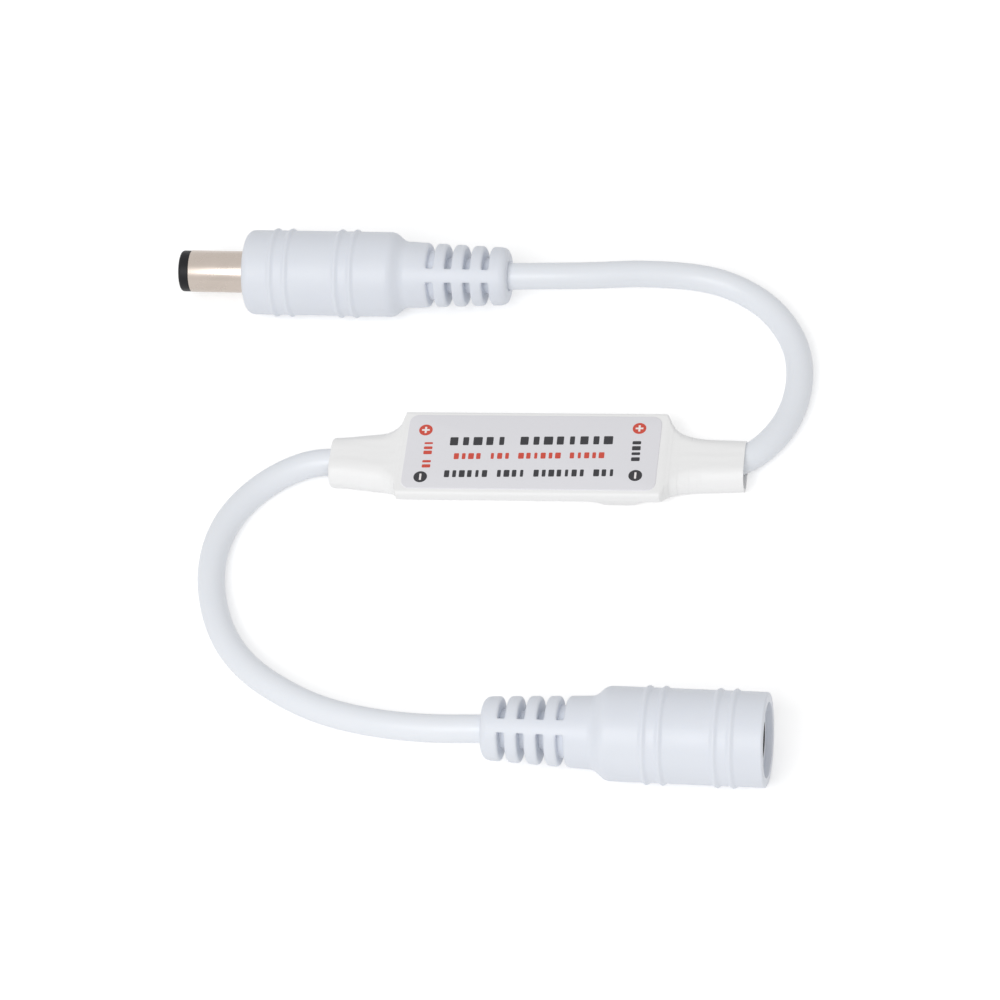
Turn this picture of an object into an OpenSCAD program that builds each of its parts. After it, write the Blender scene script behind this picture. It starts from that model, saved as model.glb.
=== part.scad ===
// In-line dimmer for LED strips: a circuit board in a heat-shrink sleeve, with an input
// lead that ends in a DC jack and an output lead that ends in a DC plug.
// Millimetres. X runs along the sleeve towards the output, Z is up, and the origin is on
// the table under the middle of the sleeve.

/* [Sleeve] */
// Length of the heat-shrink sleeve
sleeve_l = 53.4; // [50:0.2:60]
// Thickness of the shrunk film
film_t = 0.4; // [0.3:0.05:0.6]
// Width of each neck where it ends round the lead
neck_w = 7.1; // [6.4:0.1:8]
// How much wider the input neck is beside the board
input_flare = 1.3; // [0:0.1:2]
// How much wider the output neck is beside the board
output_flare = 0.4; // [0:0.1:2]
// Length of the slope from the input neck up to the board
input_slope_l = 2.8; // [2.4:0.1:4]
// Length of the slope from the output neck up to the board
output_slope_l = 5; // [4:0.1:6]
// Width of the flat that the sleeve rests on
base_w = 6; // [5:0.1:7]

/* [Label] */
// Distance of the label's ends from the ends of the board under it
label_end_margin = 0.2; // [0.1:0.1:2]
// Distance of the label's sides from the sides of the board
label_side_margin = 0.3; // [0.2:0.1:1.5]
// Thickness of the label
label_t = 0.15; // [0.1:0.05:0.3]
// Radius of the label's corners
label_corner_r = 1.2; // [0.5:0.1:2]

/* [Circuit board] */
// Length of the board
board_l = 33; // [32:0.2:35]
// Width of the board
board_w = 12.3; // [12:0.1:13]
// Thickness of the board
board_t = 0.8; // [0.6:0.1:1]
// How far the middle of the board lies from the middle of the sleeve
board_shift = 0.45; // [0:0.05:0.5]
// Gap left between parts that only lie against each other
fit = 0.05; // [0.02:0.01:0.08]

/* [Power transistor] */
// Length of the moulded body
mosfet_l = 6.1; // [5.5:0.1:6.4]
// Width of the moulded body
mosfet_w = 6.5; // [6:0.1:6.7]
// Height of the moulded body
mosfet_h = 2.3; // [2:0.1:2.6]
// Thickness of the legs and the tab
mosfet_leg_t = 0.5; // [0.4:0.05:0.6]
// Width of a leg
mosfet_leg_w = 0.8; // [0.6:0.05:1]
// Reach of the legs and the tab past the body
mosfet_leg_l = 0.5; // [0.3:0.1:0.6]
// Width of the tab
mosfet_tab_w = 5.2; // [4.5:0.1:5.8]

/* [Microcontroller] */
// Length of the body
chip_l = 4.9; // [4.5:0.1:5]
// Width of the body
chip_w = 3.9; // [3.6:0.1:4]
// Height of the body off the board
chip_h = 1.5; // [1.2:0.1:1.7]
// Spacing of the legs
chip_pitch = 1.27; // [1.2:0.01:1.3]
// Number of legs on each side
chip_legs = 4; // [3:1:4]
// Width of a leg
chip_leg_w = 0.4; // [0.3:0.05:0.5]
// Thickness of a leg
chip_leg_t = 0.2; // [0.15:0.05:0.3]
// Reach of a leg past the body
chip_leg_l = 1; // [0.7:0.1:1.1]

/* [Radio receiver] */
// Length of the body along the board's width
radio_l = 2.9; // [2.7:0.1:3.1]
// Width of the body
radio_w = 1.6; // [1.4:0.1:1.7]
// Height of the body
radio_h = 1.1; // [0.9:0.1:1.3]
// Spacing of its legs
radio_pitch = 0.95; // [0.9:0.01:1]
// Number of legs on each side
radio_legs = 3; // [2:1:3]
// Reach of a leg past the body
radio_leg_l = 0.5; // [0.4:0.05:0.6]

/* [Small parts on the board] */
// Length of the crystal's can
crystal_l = 3.2; // [3:0.1:3.4]
// Width of the crystal's can
crystal_w = 2.2; // [2:0.1:2.4]
// Height of the crystal's can
crystal_h = 0.8; // [0.6:0.1:1]
// Rim of the crystal's ceramic base past the can
crystal_rim = 0.15; // [0.1:0.05:0.2]
// Length of the voltage regulator
regulator_l = 4.4; // [4.2:0.1:4.5]
// Width of the voltage regulator
regulator_w = 2.5; // [2.3:0.1:2.6]
// Height of the voltage regulator
regulator_h = 1.5; // [1.3:0.1:1.6]
// Reach of the regulator's legs
regulator_leg_l = 0.7; // [0.5:0.1:0.8]
// Width of a regulator leg
regulator_leg_w = 0.45; // [0.4:0.05:0.5]
// Spacing of the regulator's legs
regulator_pitch = 1.5; // [1.4:0.05:1.6]
// Length of the protection diode
diode_l = 4.2; // [4:0.1:4.3]
// Width of the protection diode
diode_w = 2.6; // [2.4:0.1:2.7]
// Height of the protection diode
diode_h = 2.1; // [1.9:0.1:2.2]
// Thickness of the diode's end tabs
diode_tab_t = 0.15; // [0.1:0.05:0.2]
// Length of a ceramic capacitor
ceramic_l = 2; // [1.8:0.1:2.1]
// Width of a ceramic capacitor
ceramic_w = 1.25; // [1.1:0.05:1.3]
// Height of a ceramic capacitor
ceramic_h = 1.2; // [1:0.05:1.3]
// Length of a resistor
resistor_l = 1.6; // [1.5:0.05:1.7]
// Width of a resistor
resistor_w = 0.8; // [0.7:0.05:0.9]
// Height of a resistor
resistor_h = 0.45; // [0.4:0.05:0.5]

/* [Buffer capacitor] */
// Diameter of the can
can_d = 3; // [2.8:0.1:3.2]
// Length of the can
can_l = 5; // [4.5:0.1:5.4]
// Distance of the crimped groove from the can's end
can_groove_at = 0.8; // [0.6:0.1:1]
// Depth of the crimped groove
can_groove_depth = 0.2; // [0.1:0.05:0.3]
// Diameter of a leg
can_leg_d = 0.45; // [0.4:0.05:0.5]
// Spacing of the legs
can_leg_pitch = 1.5; // [1.2:0.1:1.6]
// Reach of the legs before they bend up to the board
can_leg_l = 0.6; // [0.5:0.1:0.8]

/* [Antenna coil] */
// Number of turns
coil_turns = 4; // [3:1:5]
// Diameter across the outside of the turns
coil_d = 2.6; // [2.4:0.1:2.8]
// Diameter of the wire
coil_wire_d = 0.5; // [0.4:0.05:0.6]
// Length of the winding between the centres of its end turns
coil_l = 4; // [3.6:0.1:4.4]
// Distance of the winding's axis from the board's edge
coil_inset = 2.1; // [2:0.05:2.3]

/* [Cable] */
// Diameter of the cable's jacket
cable_d = 3.5; // [3.2:0.1:3.8]
// Diameter of a lead inside the jacket
lead_d = 1.2; // [1:0.05:1.3]
// Distance between the two leads inside the jacket
lead_pitch = 1.5; // [1.4:0.05:1.6]
// Gap between the jacket's cut end and the nearest soldered pad
lead_free_l = 4.9; // [4:0.1:6]
// Diameter of a solder joint on the board
solder_d = 1.6; // [1.4:0.1:1.8]
// Height of a solder joint
solder_h = 1.1; // [1:0.05:1.2]
// Distance of the pads from the end of the board
pad_inset = 1.8; // [1.6:0.1:2.2]
// Spacing of the two pads at one end of the board
pad_pitch = 3.6; // [3.2:0.1:4]

/* [Connector mouldings] */
// Length of each moulding
mould_l = 34.9; // [34.4:0.1:37]
// Length of the slotted strain relief
relief_l = 13.4; // [13:0.1:14]
// Length of the shoulder between the relief and the grip
shoulder_l = 2.2; // [1.8:0.1:2.4]
// Number of slots in the strain relief
slot_count = 4; // [3:1:4]
// Distance of the first slot's middle from the tail
slot_first = 2.7; // [2.4:0.1:3]
// Spacing of the slots
slot_pitch = 2.43; // [2.2:0.01:2.5]
// Width of a slot
slot_w = 0.85; // [0.6:0.05:1]
// Diameter left at the bottom of the slots
slot_core_d = 4.6; // [4.4:0.1:5.4]
// Diameter left at the bottom of the slot beside the grip
last_slot_core_d = 6.4; // [5.6:0.1:7]
// Width of the rib that crosses the slots on either side
rib_w = 1.84; // [1.4:0.02:2.4]
// Radius of the relief's tail edge
tail_round = 0.9; // [0.4:0.1:1.2]
// Height of the raised rings on the grip
bead_h = 0.27; // [0.15:0.01:0.4]
// Width of a raised ring
bead_w = 0.9; // [0.6:0.05:1.1]
// Spacing of the two rings of a pair
bead_pitch = 2; // [1.6:0.1:2.4]
// Length of cable jacket held inside each moulding
jacket_in = 12.5; // [11:0.1:12.8]

/* [DC plug] */
// Diameter of the plug's grip
plug_d = 11.1; // [10.8:0.1:12]
// Diameter of the plug's strain relief at its tail
plug_tail_d = 7.5; // [7:0.1:8]
// Diameter of the plug's strain relief at its root
plug_root_d = 8.7; // [8.2:0.1:9.2]
// Radius of the plug's front edge
plug_round = 1; // [0.4:0.1:1.6]
// Outer diameter of the barrel
barrel_d = 5.5; // [5.3:0.05:5.7]
// Wall of the barrel
barrel_wall = 0.4; // [0.35:0.05:0.45]
// Length of barrel and tip that stands out of the moulding
barrel_l = 9; // [8.5:0.5:10]
// Length of the insulating tip
tip_l = 1.35; // [1:0.05:1.6]
// Step of the tip below the barrel's surface
tip_step = 0.05; // [0.03:0.01:0.08]
// Bore of the centre contact
contact_bore_d = 2.1; // [2:0.05:2.3]
// Wall of the centre contact
contact_wall = 0.3; // [0.2:0.05:0.35]
// Depth of the centre contact's bore
contact_depth = 8.6; // [7.5:0.1:8.8]
// Set-back of the centre contact behind the tip's face
contact_setback = 1.6; // [1.5:0.1:2]
// Length of barrel held inside the moulding
barrel_root_l = 8; // [7:0.1:8.5]
// Reduction of the barrel's radius where the moulding holds it
barrel_root_step = 0.2; // [0.18:0.01:0.25]
// Outer diameter of the hard inner moulding
inner_mould_d = 8; // [7.6:0.1:8.4]
// Length of the hard inner moulding
inner_mould_l = 14.5; // [14:0.1:15]
// Thickness of the inner moulding's back wall
inner_back_t = 1.5; // [1.2:0.1:1.8]
// Length of the barrel's solder tag
tag_l = 3; // [2.5:0.1:3.2]
// Width of the solder tags
tag_w = 1.2; // [1:0.1:1.4]
// Thickness of the solder tags
tag_t = 0.3; // [0.25:0.05:0.35]

/* [DC jack] */
// Diameter of the jack's grip
jack_d = 11.6; // [11.4:0.1:12.4]
// Diameter of the jack's strain relief at its tail
jack_tail_d = 7.8; // [7.4:0.1:8.2]
// Diameter of the jack's strain relief at its root
jack_root_d = 9; // [8.6:0.1:9.6]
// Radius of the jack's front edge
jack_round = 0.3; // [0.2:0.05:0.5]
// Inner diameter of the collar round the jack's mouth
collar_d = 9.2; // [9:0.1:9.6]
// Set-back of the insert's face behind the mouth
insert_setback = 0.8; // [0.6:0.1:1.5]
// Length of the insert
insert_l = 13.5; // [13:0.1:14]
// Diameter of the socket
socket_d = 5.7; // [5.65:0.05:5.9]
// Depth of the socket
socket_depth = 9.5; // [9.1:0.1:10]
// Diameter of the centre pin
pin_d = 2; // [1.9:0.05:2.1]
// Set-back of the pin's end behind the insert's face
pin_setback = 0.2; // [0.1:0.1:0.5]
// Diameter of the pin's shank through the insert
shank_d = 1.4; // [1.2:0.1:1.5]
// Length of the pin's shank behind the insert
shank_l = 1; // [0.8:0.1:1.3]
// Rounding of the pin's end
pin_round = 0.3; // [0.2:0.05:0.4]

/* [Contact spring] */
// Length of the leaf from its pivot to its crest
leaf_crest_l = 4.2; // [4:0.1:4.4]
// Length of the leaf from its pivot to its free end
leaf_l = 6; // [5.8:0.1:6.2]
// Width of the leaf
leaf_w = 1.3; // [1.1:0.1:1.4]
// Thickness of the leaf
leaf_t = 0.2; // [0.15:0.05:0.25]
// How far the crest stands into the socket past its wall
leaf_reach = 0.4; // [0.3:0.05:0.45]
// Radius of the rolled root that the leaf turns on
curl_r = 0.3; // [0.25:0.05:0.35]
// Distance of the pivot from the socket's floor
pivot_at = 1.6; // [1.5:0.1:1.8]
// Room left round the leaf in its pocket
leaf_room = 0.25; // [0.2:0.05:0.3]
// Gap between the fixed terminal and the rolled root
pivot_gap = 0.1; // [0.08:0.01:0.12]

/* [Where the leads lie] */
// Distance of the plug's tail along the sleeve from the origin
plug_x = -6.2; // [-7:0.1:-5]
// Distance of the plug's tail behind the sleeve
plug_y = 28.1; // [27.5:0.1:28.5]
// Heading of the plug
plug_turn = 179; // [178:0.5:180]
// Roll of the plug about its own axis
plug_roll = -40; // [-60:5:-20]
// Distance of the jack's tail along the sleeve from the origin
jack_x = -1.6; // [-2:0.1:-1]
// Distance of the jack's tail in front of the sleeve
jack_y = -43.3; // [-43.6:0.1:-43]
// Heading of the jack
jack_turn = -1.6; // [-3:0.1:0]
// Roll of the jack about its own axis
jack_roll = 28; // [10:2:50]

/* [Hidden] */
$fn = 48;

// Overrun of every cut past the face that it opens
over = 0.5;
cable_r = cable_d / 2;
lead_r = lead_d / 2;

// Heights in the sleeve: the board lies on its tallest part, and that on the film
under_h = max(can_d + fit, mosfet_h, chip_h, diode_h, ceramic_h, coil_d + fit, regulator_h);
board_z = film_t + fit + under_h;
board_top = board_z + board_t;
sleeve_top = board_top + fit + film_t;
hug_r = film_t + fit;
neck_r = cable_r + fit + film_t;
can_z = board_z - fit - can_d / 2;
coil_r = coil_d / 2;
coil_z = board_z - fit - coil_r;
coil_y = -(board_w / 2 - coil_inset);

// Places of the parts on the board, as shares of its length and width
mosfet_shares = [-0.16, 0.01];
chip_shares = [0.235, 0.1];
radio_shares = [0.38, 0.14];
crystal_shares = [0.36, -0.095];
regulator_shares = [-0.34, 0.19];
diode_shares = [-0.34, -0.2];
can_shares = [0.035, 0];
coil_share = 0.345;
ceramic_shares = [[-0.035, 0.31], [0.035, 0.3], [0.035, -0.3]];
resistor_shares = [[0.105, 0.31], [0.105, -0.31], [-0.045, -0.3], [0.16, -0.31],
    [0.44, 0.33], [-0.46, 0]];

// Heights of the film along a slope, as shares: distance from the board, then height
input_slope_shares = [[0, 1], [0.06, 0.8], [0.15, 0.5], [0.36, 0.27], [0.6, 0.125],
    [0.83, 0.03], [1, 0]];
output_slope_shares = [[0, 1], [0.04, 0.86], [0.1, 0.66], [0.22, 0.38], [0.42, 0.19],
    [0.7, 0.07], [1, 0]];
// Spread of the film over the coil's ends, and its height there, as shares
coil_slope_shares = [[1, 0], [0.75, 0.2], [0.4, 0.72], [0, 1]];
// Length of film that climbs over either end of the coil
coil_slope_l = 1.4;
// Angle between neighbouring points of the film's outline
outline_step = 10;

// Reach of the joints in the connectors, measured from the tail
grip_from = relief_l + shoulder_l;
grip_l = mould_l - grip_from;
bead_pair_shares = [0.295, 0.744];
plug_r = plug_d / 2;
jack_r = jack_d / 2;
plug_z = plug_r + bead_h;
jack_z = jack_r + bead_h;
barrel_r = barrel_d / 2;
barrel_root_r = barrel_r - barrel_root_step;
barrel_bore_r = barrel_r - barrel_wall;
barrel_root_at = mould_l - barrel_root_l;
contact_r = contact_bore_d / 2 + contact_wall;
contact_front = mould_l + barrel_l - contact_setback;
contact_floor = contact_front - contact_depth;
inner_mould_at = grip_from;
inner_cavity_r = barrel_root_r + fit;
tag_at = barrel_root_at - tag_l;
// The tag is flat, so its outer corners lie just inside the barrel's own outside
tag_out = sqrt(pow(barrel_root_r, 2) - pow(tag_w / 2, 2)) - fit;
contact_tail_at = tag_at + fit;
// Solid root of the centre contact behind its bore, and the thin shank behind that
contact_back_l = 2.5;
contact_shank_d = 1.2;
// Reach of the insulator past the floor of the contact's bore
insulator_back_l = 2.8;
// Hole in the tip as a share of the contact's bore, and its rounding as one of its length
tip_hole_share = 1.15;
tip_round_share = 0.3;
insert_front = mould_l - insert_setback;
insert_at = insert_front - insert_l;
insert_r = collar_d / 2 - fit;
socket_r = socket_d / 2;
socket_floor = insert_front - socket_depth;
terminal_y = socket_r + leaf_t + leaf_room;
pocket_depth = terminal_y + curl_r + pivot_gap;
pivot_s = socket_floor + pivot_at;
terminal_end = pivot_s - curl_r - pivot_gap;
// Reach of the sleeve terminal behind the insert, and the cavity that holds its lead
terminal_back_l = 1.4;
jack_cavity_at = grip_from;
jack_cavity_r = terminal_y + tag_t / 2 + lead_r;
shank_back = insert_at - shank_l;
// Shape of the leaf up to its crest and past it: shares of the crest's distance and rise
leaf_shares = [[0, 0], [0.3, 0.25], [0.8, 0.9], [1, 1], [1.15, 0.9]];
// Rise of the leaf's free end as a share of the crest's
leaf_end_share = 0.38;

// Routes of the two cables, from inside the connector to inside the sleeve
plug_route = concat(
    [[plug_x + jacket_in * cos(plug_turn), plug_y + jacket_in * sin(plug_turn), plug_z],
        [plug_x, plug_y, plug_z]],
    [[-2.5, 28.25, 5.75], [1.5, 28.5, 5.5], [5.5, 29, 5], [9.5, 29.75, 4.5],
        [13.5, 30.25, 3.75], [17.5, 30.5, 3], [21.25, 30, 2.5], [24.75, 28.5, 2],
        [27.75, 26.25, 1.75], [30, 23.25, 1.75], [31.75, 19.75, 1.75],
        [32.5, 16, 1.75], [32.5, 12.25, 1.75], [31.75, 8.5, 1.75], [30.25, 5, 2],
        [27.5, 1.5, 2.2], [24.25, 0, 2.2], [20.5, 0, 2.2]]);
jack_route = concat(
    [[jack_x + jacket_in * cos(jack_turn), jack_y + jacket_in * sin(jack_turn), jack_z],
        [jack_x, jack_y, jack_z]],
    [[-5.5, -43.5, 6], [-9.5, -43.25, 5.75], [-13.5, -42.75, 5.5], [-17.5, -41.75, 5],
        [-21.25, -40.5, 4.5], [-25, -38.75, 4], [-28.5, -36.5, 3.5],
        [-31.5, -34.25, 3], [-34.25, -31.5, 2.5], [-36.5, -28.5, 2.25],
        [-38.25, -25, 2], [-39.5, -21.25, 1.75], [-40.25, -17.5, 1.75],
        [-40.25, -13.5, 1.75], [-39.5, -9.75, 1.75], [-37.75, -6.25, 1.75],
        [-35.25, -3.25, 1.75], [-32, -1, 2], [-28.5, 0.25, 2.2], [-25, 0, 2.2],
        [-20.9, 0, 2.2]]);

// Vector of length one along v
function unit(v) = v / norm(v);

// Heading of a route at its point i
function heading(p, i) = unit(p[min(i + 1, len(p) - 1)] - p[max(i - 1, 0)]);

// One ring of a swept tube, square to the route at point i
function ring(p, i, r, sides, ref) =
    let (t = heading(p, i), u = unit(cross(t, ref)), v = cross(u, t))
    [for (k = [0 : sides - 1]) let (a = 360 * (k + 0.5) / sides)
        p[i] + r * (cos(a) * u + sin(a) * v)];

// Point number of corner k on ring i, counted round the ring
function corner(i, k, n) = i * n + (k + n) % n;

// Triangles of the wall between neighbouring rings of n points
function wall_faces(rings, n) = [for (i = [0 : rings - 2]) for (k = [0 : n - 1])
    each [[corner(i, k, n), corner(i, k + 1, n), corner(i + 1, k, n)],
        [corner(i, k + 1, n), corner(i + 1, k + 1, n), corner(i + 1, k, n)]]];

// Points of an arc about [x, y]
function arc(x, y, r, from, to, steps) = [for (i = [0 : steps])
    let (a = from + (to - from) * i / steps) [x + r * cos(a), y + r * sin(a)]];

// Round tube along a route, with closed ends
module tube(route, r, sides = 8, ref = [0, 0, 1]) {
    n = len(route);
    polyhedron(
        points = [for (i = [0 : n - 1]) each ring(route, i, r, sides, ref)],
        faces = concat(
            [[for (k = [0 : sides - 1]) sides - 1 - k]],
            wall_faces(n, sides),
            [[for (k = [0 : sides - 1]) (n - 1) * sides + k]]));
}

// Box centred on x and y that hangs down from height top
module hang(l, w, h, top) {
    translate([-l / 2, -w / 2, top - h]) cube([l, w, h]);
}

// Places a part on the board, at shares of the board's length and width
module on_board(shares) {
    translate([shares[0] * board_l - board_shift, shares[1] * board_w, 0]) children();
}

// Chip with a row of bent legs on either side, its legs along Y
module chip(l, w, h, legs, pitch, leg_w, leg_t, leg_l) {
    hang(l, w, h - leg_t, board_z - leg_t);
    for (side = [-1, 1]) for (k = [0 : legs - 1])
        translate([(k - (legs - 1) / 2) * pitch, side * (w + leg_l) / 2, 0]) {
            hang(leg_w, leg_l, leg_t, board_z);
            translate([0, -side * leg_l / 4, 0]) hang(leg_w, leg_l / 2, h / 2, board_z);
        }
}

// Outline of the film over the board, for the side with positive y: each normal
// direction takes the furthest of the circles that the film is stretched over
function hug(a, circles) =
    let (reach = [for (c = circles) c[0] * cos(a) + c[1] * sin(a) + c[2]],
        best = max(reach),
        c = circles[[for (i = [0 : len(circles) - 1]) if (reach[i] == best) i][0]])
    [c[0] + c[2] * cos(a), c[1] + c[2] * sin(a)];
box_circles = [[board_w / 2, board_top, hug_r], [board_w / 2, board_z, hug_r],
    [mosfet_w / 2 + mosfet_shares[1] * board_w, board_z - mosfet_h, hug_r],
    [diode_w / 2 - diode_shares[1] * board_w, board_z - diode_h, hug_r],
    [base_w / 2, hug_r, hug_r]];
coil_circles = concat(box_circles, [[-coil_y, coil_z, coil_r + hug_r]]);
outline_angles = [for (a = [-90 : outline_step : 90]) a];

// Stations along the sleeve: x, share of board section, neck width, share of coil bump
board_from = -board_l / 2 - board_shift - hug_r;
board_to = board_l / 2 - board_shift + hug_r;
coil_x = coil_share * board_l - board_shift;
bump_from = coil_x - coil_l / 2 - coil_slope_l;
bump_to = coil_x + coil_l / 2 + coil_slope_l;
stations = concat(
    [[-sleeve_l / 2, 0, neck_w, 0]],
    [for (i = [len(input_slope_shares) - 1 : -1 : 0]) let (s = input_slope_shares[i])
        [board_from - s[0] * input_slope_l, s[1], neck_w + input_flare, 0]],
    [for (s = coil_slope_shares) [bump_from + (1 - s[0]) * coil_slope_l, 1, neck_w, s[1]]],
    [for (i = [len(coil_slope_shares) - 1 : -1 : 0]) let (s = coil_slope_shares[i])
        [bump_to - (1 - s[0]) * coil_slope_l, 1, neck_w, s[1]]],
    [for (s = output_slope_shares)
        [board_to + s[0] * output_slope_l, s[1], neck_w + output_flare, 0]],
    [[sleeve_l / 2, 0, neck_w, 0]]);

// One point of the film at a station, set in by depth
function film_point(st, a, side, depth) =
    let (hugged = hug(a, box_circles),
        bumped = side < 0 ? hug(a, coil_circles) : hugged,
        box = hugged + st[3] * (bumped - hugged),
        neck = [st[2] / 2 - neck_r + neck_r * cos(a), neck_r + neck_r * sin(a)],
        p = neck + st[1] * (box - neck) - depth * [cos(a), sin(a)])
    [st[0], side * p[0], p[1]];

// Closed outline of the film at a station, seen from the output end
function film_ring(st, depth) = concat(
    [for (a = outline_angles) film_point(st, a, 1, depth)],
    [for (i = [len(outline_angles) - 1 : -1 : 0])
        film_point(st, outline_angles[i], -1, depth)]);

module heat_shrink_sleeve() {
    n = 2 * len(outline_angles);
    count = len(stations);
    skin = count * n;
    color("white") polyhedron(
        points = concat([for (st = stations) each film_ring(st, 0)],
            [for (st = stations) each film_ring(st, film_t)]),
        faces = concat(
            [for (f = wall_faces(count, n)) [f[0], f[2], f[1]]],
            [for (f = wall_faces(count, n)) [f[0] + skin, f[1] + skin, f[2] + skin]],
            [for (k = [0 : n - 1]) each [[corner(0, k, n), corner(0, k + 1, n), k + skin],
                [corner(0, k + 1, n), corner(0, k + 1, n) + skin, k + skin]]],
            [for (k = [0 : n - 1]) let (a = corner(count - 1, k, n),
                    b = corner(count - 1, k + 1, n))
                each [[a, a + skin, b], [b, a + skin, b + skin]]]));
}

module label() {
    label_l = board_l - 2 * label_end_margin;
    label_w = board_w - 2 * label_side_margin;
    in_l = label_l - 2 * label_corner_r;
    in_w = label_w - 2 * label_corner_r;
    color("gainsboro") translate([-board_shift, 0, sleeve_top]) linear_extrude(label_t) {
        square([label_l, in_w], center = true);
        square([in_l, label_w], center = true);
        for (x = [-1, 1]) for (y = [-1, 1])
            translate([x * in_l / 2, y * in_w / 2]) circle(r = label_corner_r);
    }
}

module circuit_board() {
    color("darkgreen") translate([-board_l / 2 - board_shift, -board_w / 2, board_z])
        cube([board_l, board_w, board_t]);
}

module power_mosfet() {
    color("dimgray") on_board(mosfet_shares) {
        hang(mosfet_l, mosfet_w, mosfet_h, board_z);
        translate([-(mosfet_l + mosfet_leg_l) / 2, 0, 0])
            hang(mosfet_leg_l, mosfet_tab_w, mosfet_leg_t, board_z);
        for (side = [-1, 1])
            translate([(mosfet_l + mosfet_leg_l) / 2, side * mosfet_tab_w / 2, 0])
                hang(mosfet_leg_l, mosfet_leg_w, mosfet_leg_t, board_z);
    }
}

module microcontroller() {
    color("black") on_board(chip_shares)
        chip(chip_l, chip_w, chip_h, chip_legs, chip_pitch, chip_leg_w, chip_leg_t, chip_leg_l);
}

module radio_receiver() {
    color("black") on_board(radio_shares) rotate([0, 0, 90])
        chip(radio_l, radio_w, radio_h, radio_legs, radio_pitch, chip_leg_w, chip_leg_t,
            radio_leg_l);
}

module crystal() {
    color("silver") on_board(crystal_shares) {
        hang(crystal_l, crystal_w, crystal_h, board_z);
        hang(crystal_l + 2 * crystal_rim, crystal_w + 2 * crystal_rim, crystal_rim, board_z);
    }
}

module voltage_regulator() {
    color("black") on_board(regulator_shares) {
        hang(regulator_l, regulator_w, regulator_h, board_z);
        for (k = [-1, 0, 1])
            translate([k * regulator_pitch, (regulator_w + regulator_leg_l) / 2, 0])
                hang(regulator_leg_w, regulator_leg_l, mosfet_leg_t, board_z);
    }
}

module protection_diode() {
    color("black") on_board(diode_shares) {
        hang(diode_l, diode_w, diode_h, board_z);
        for (side = [-1, 1])
            translate([side * (diode_l + diode_tab_t) / 2, 0, 0])
                hang(diode_tab_t, diode_w / 2, diode_h / 2, board_z);
    }
}

module buffer_capacitor() {
    groove_r = can_d / 2 - can_groove_depth;
    leg_x = can_l / 2 + can_leg_l;
    color("darkslateblue") on_board(can_shares) translate([0, 0, can_z]) {
        rotate([0, 90, 0]) difference() {
            cylinder(d = can_d, h = can_l, center = true);
            translate([0, 0, can_l / 2 - can_groove_at]) rotate_extrude()
                translate([can_d / 2, 0]) circle(r = can_groove_depth);
        }
        for (side = [-1, 1]) translate([0, side * can_leg_pitch / 2, 0]) {
            translate([can_l / 2 - can_groove_depth, 0, 0]) rotate([0, 90, 0])
                cylinder(d = can_leg_d, h = can_leg_l + can_groove_depth);
            translate([leg_x, 0, 0]) sphere(d = can_leg_d);
            translate([leg_x, 0, 0]) cylinder(d = can_leg_d, h = board_z - can_z);
        }
    }
}

// Group of small two-ended parts on the board
module chips_group(places, l, w, h) {
    for (place = places) on_board(place) hang(l, w, h, board_z);
}

module ceramic_capacitors() {
    color("tan") chips_group(ceramic_shares, ceramic_l, ceramic_w, ceramic_h);
}

module resistors() {
    color("black") chips_group(resistor_shares, resistor_l, resistor_w, resistor_h);
}

// Wire of the antenna: a helix along X whose ends rise to the board
module antenna_coil() {
    wire_r = coil_wire_d / 2;
    turn_r = coil_r - wire_r;
    steps = 12 * coil_turns;
    helix = [for (i = [0 : steps]) let (a = 90 + 360 * coil_turns * i / steps)
        [coil_x + coil_l * (i / steps - 1 / 2), coil_y + turn_r * cos(a), coil_z + turn_r * sin(a)]];
    color("peru") tube(helix, wire_r, 6, [1, 0, 0]);
}

// The four soldered pads: two where the input leads end, two where the output leads do
input_pad_x = -board_l / 2 - board_shift + pad_inset;
output_pad_x = board_l / 2 - board_shift - pad_inset;

module solder_joints() {
    color("lightgray") for (x = [input_pad_x, output_pad_x]) for (side = [-1, 1])
        translate([x, side * pad_pitch / 2, board_z - solder_h]) {
            translate([0, 0, solder_h / 2]) cylinder(d = solder_d, h = solder_h / 2);
            cylinder(d1 = solder_d / 2, d2 = solder_d, h = solder_h / 2);
        }
}

// Shares of a lead's run at which it bends, and of its spread from the jacket to the pad
lead_run_shares = [0, 0.15, 0.75, 1];
lead_spread_shares = [0, 0, 1, 1];

// Lead from the jacket's cut end to the side of its solder joint
module board_lead(pad_x, end, side) {
    from_x = pad_x + end * (solder_d / 2 + lead_free_l);
    to = [pad_x + end * (solder_d / 2 + fit), side * pad_pitch / 2, board_z - fit - lead_r];
    from = [from_x, side * lead_pitch / 2, neck_r];
    tube([for (i = [0 : 3]) [from.x + (to.x - from.x) * lead_run_shares[i],
        from.y + (to.y - from.y) * lead_spread_shares[i],
        from.z + (to.z - from.z) * lead_spread_shares[i]]], lead_r);
}

module input_positive_lead() { color("red") board_lead(input_pad_x, -1, 1); }
module input_negative_lead() { color("black") board_lead(input_pad_x, -1, -1); }
module output_positive_lead() { color("red") board_lead(output_pad_x, 1, 1); }
module output_negative_lead() { color("black") board_lead(output_pad_x, 1, -1); }

module jack_cable() { color("aliceblue") tube(jack_route, cable_r); }
module plug_cable() { color("aliceblue") tube(plug_route, cable_r); }

// Stands a connector part, made along Z from its tail, where the plug or jack lies
module at_plug() {
    translate([plug_x, plug_y, plug_z]) rotate([0, 90, plug_turn]) rotate(plug_roll) children();
}
module at_jack() {
    translate([jack_x, jack_y, jack_z]) rotate([0, 90, jack_turn]) rotate(jack_roll) children();
}

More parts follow.
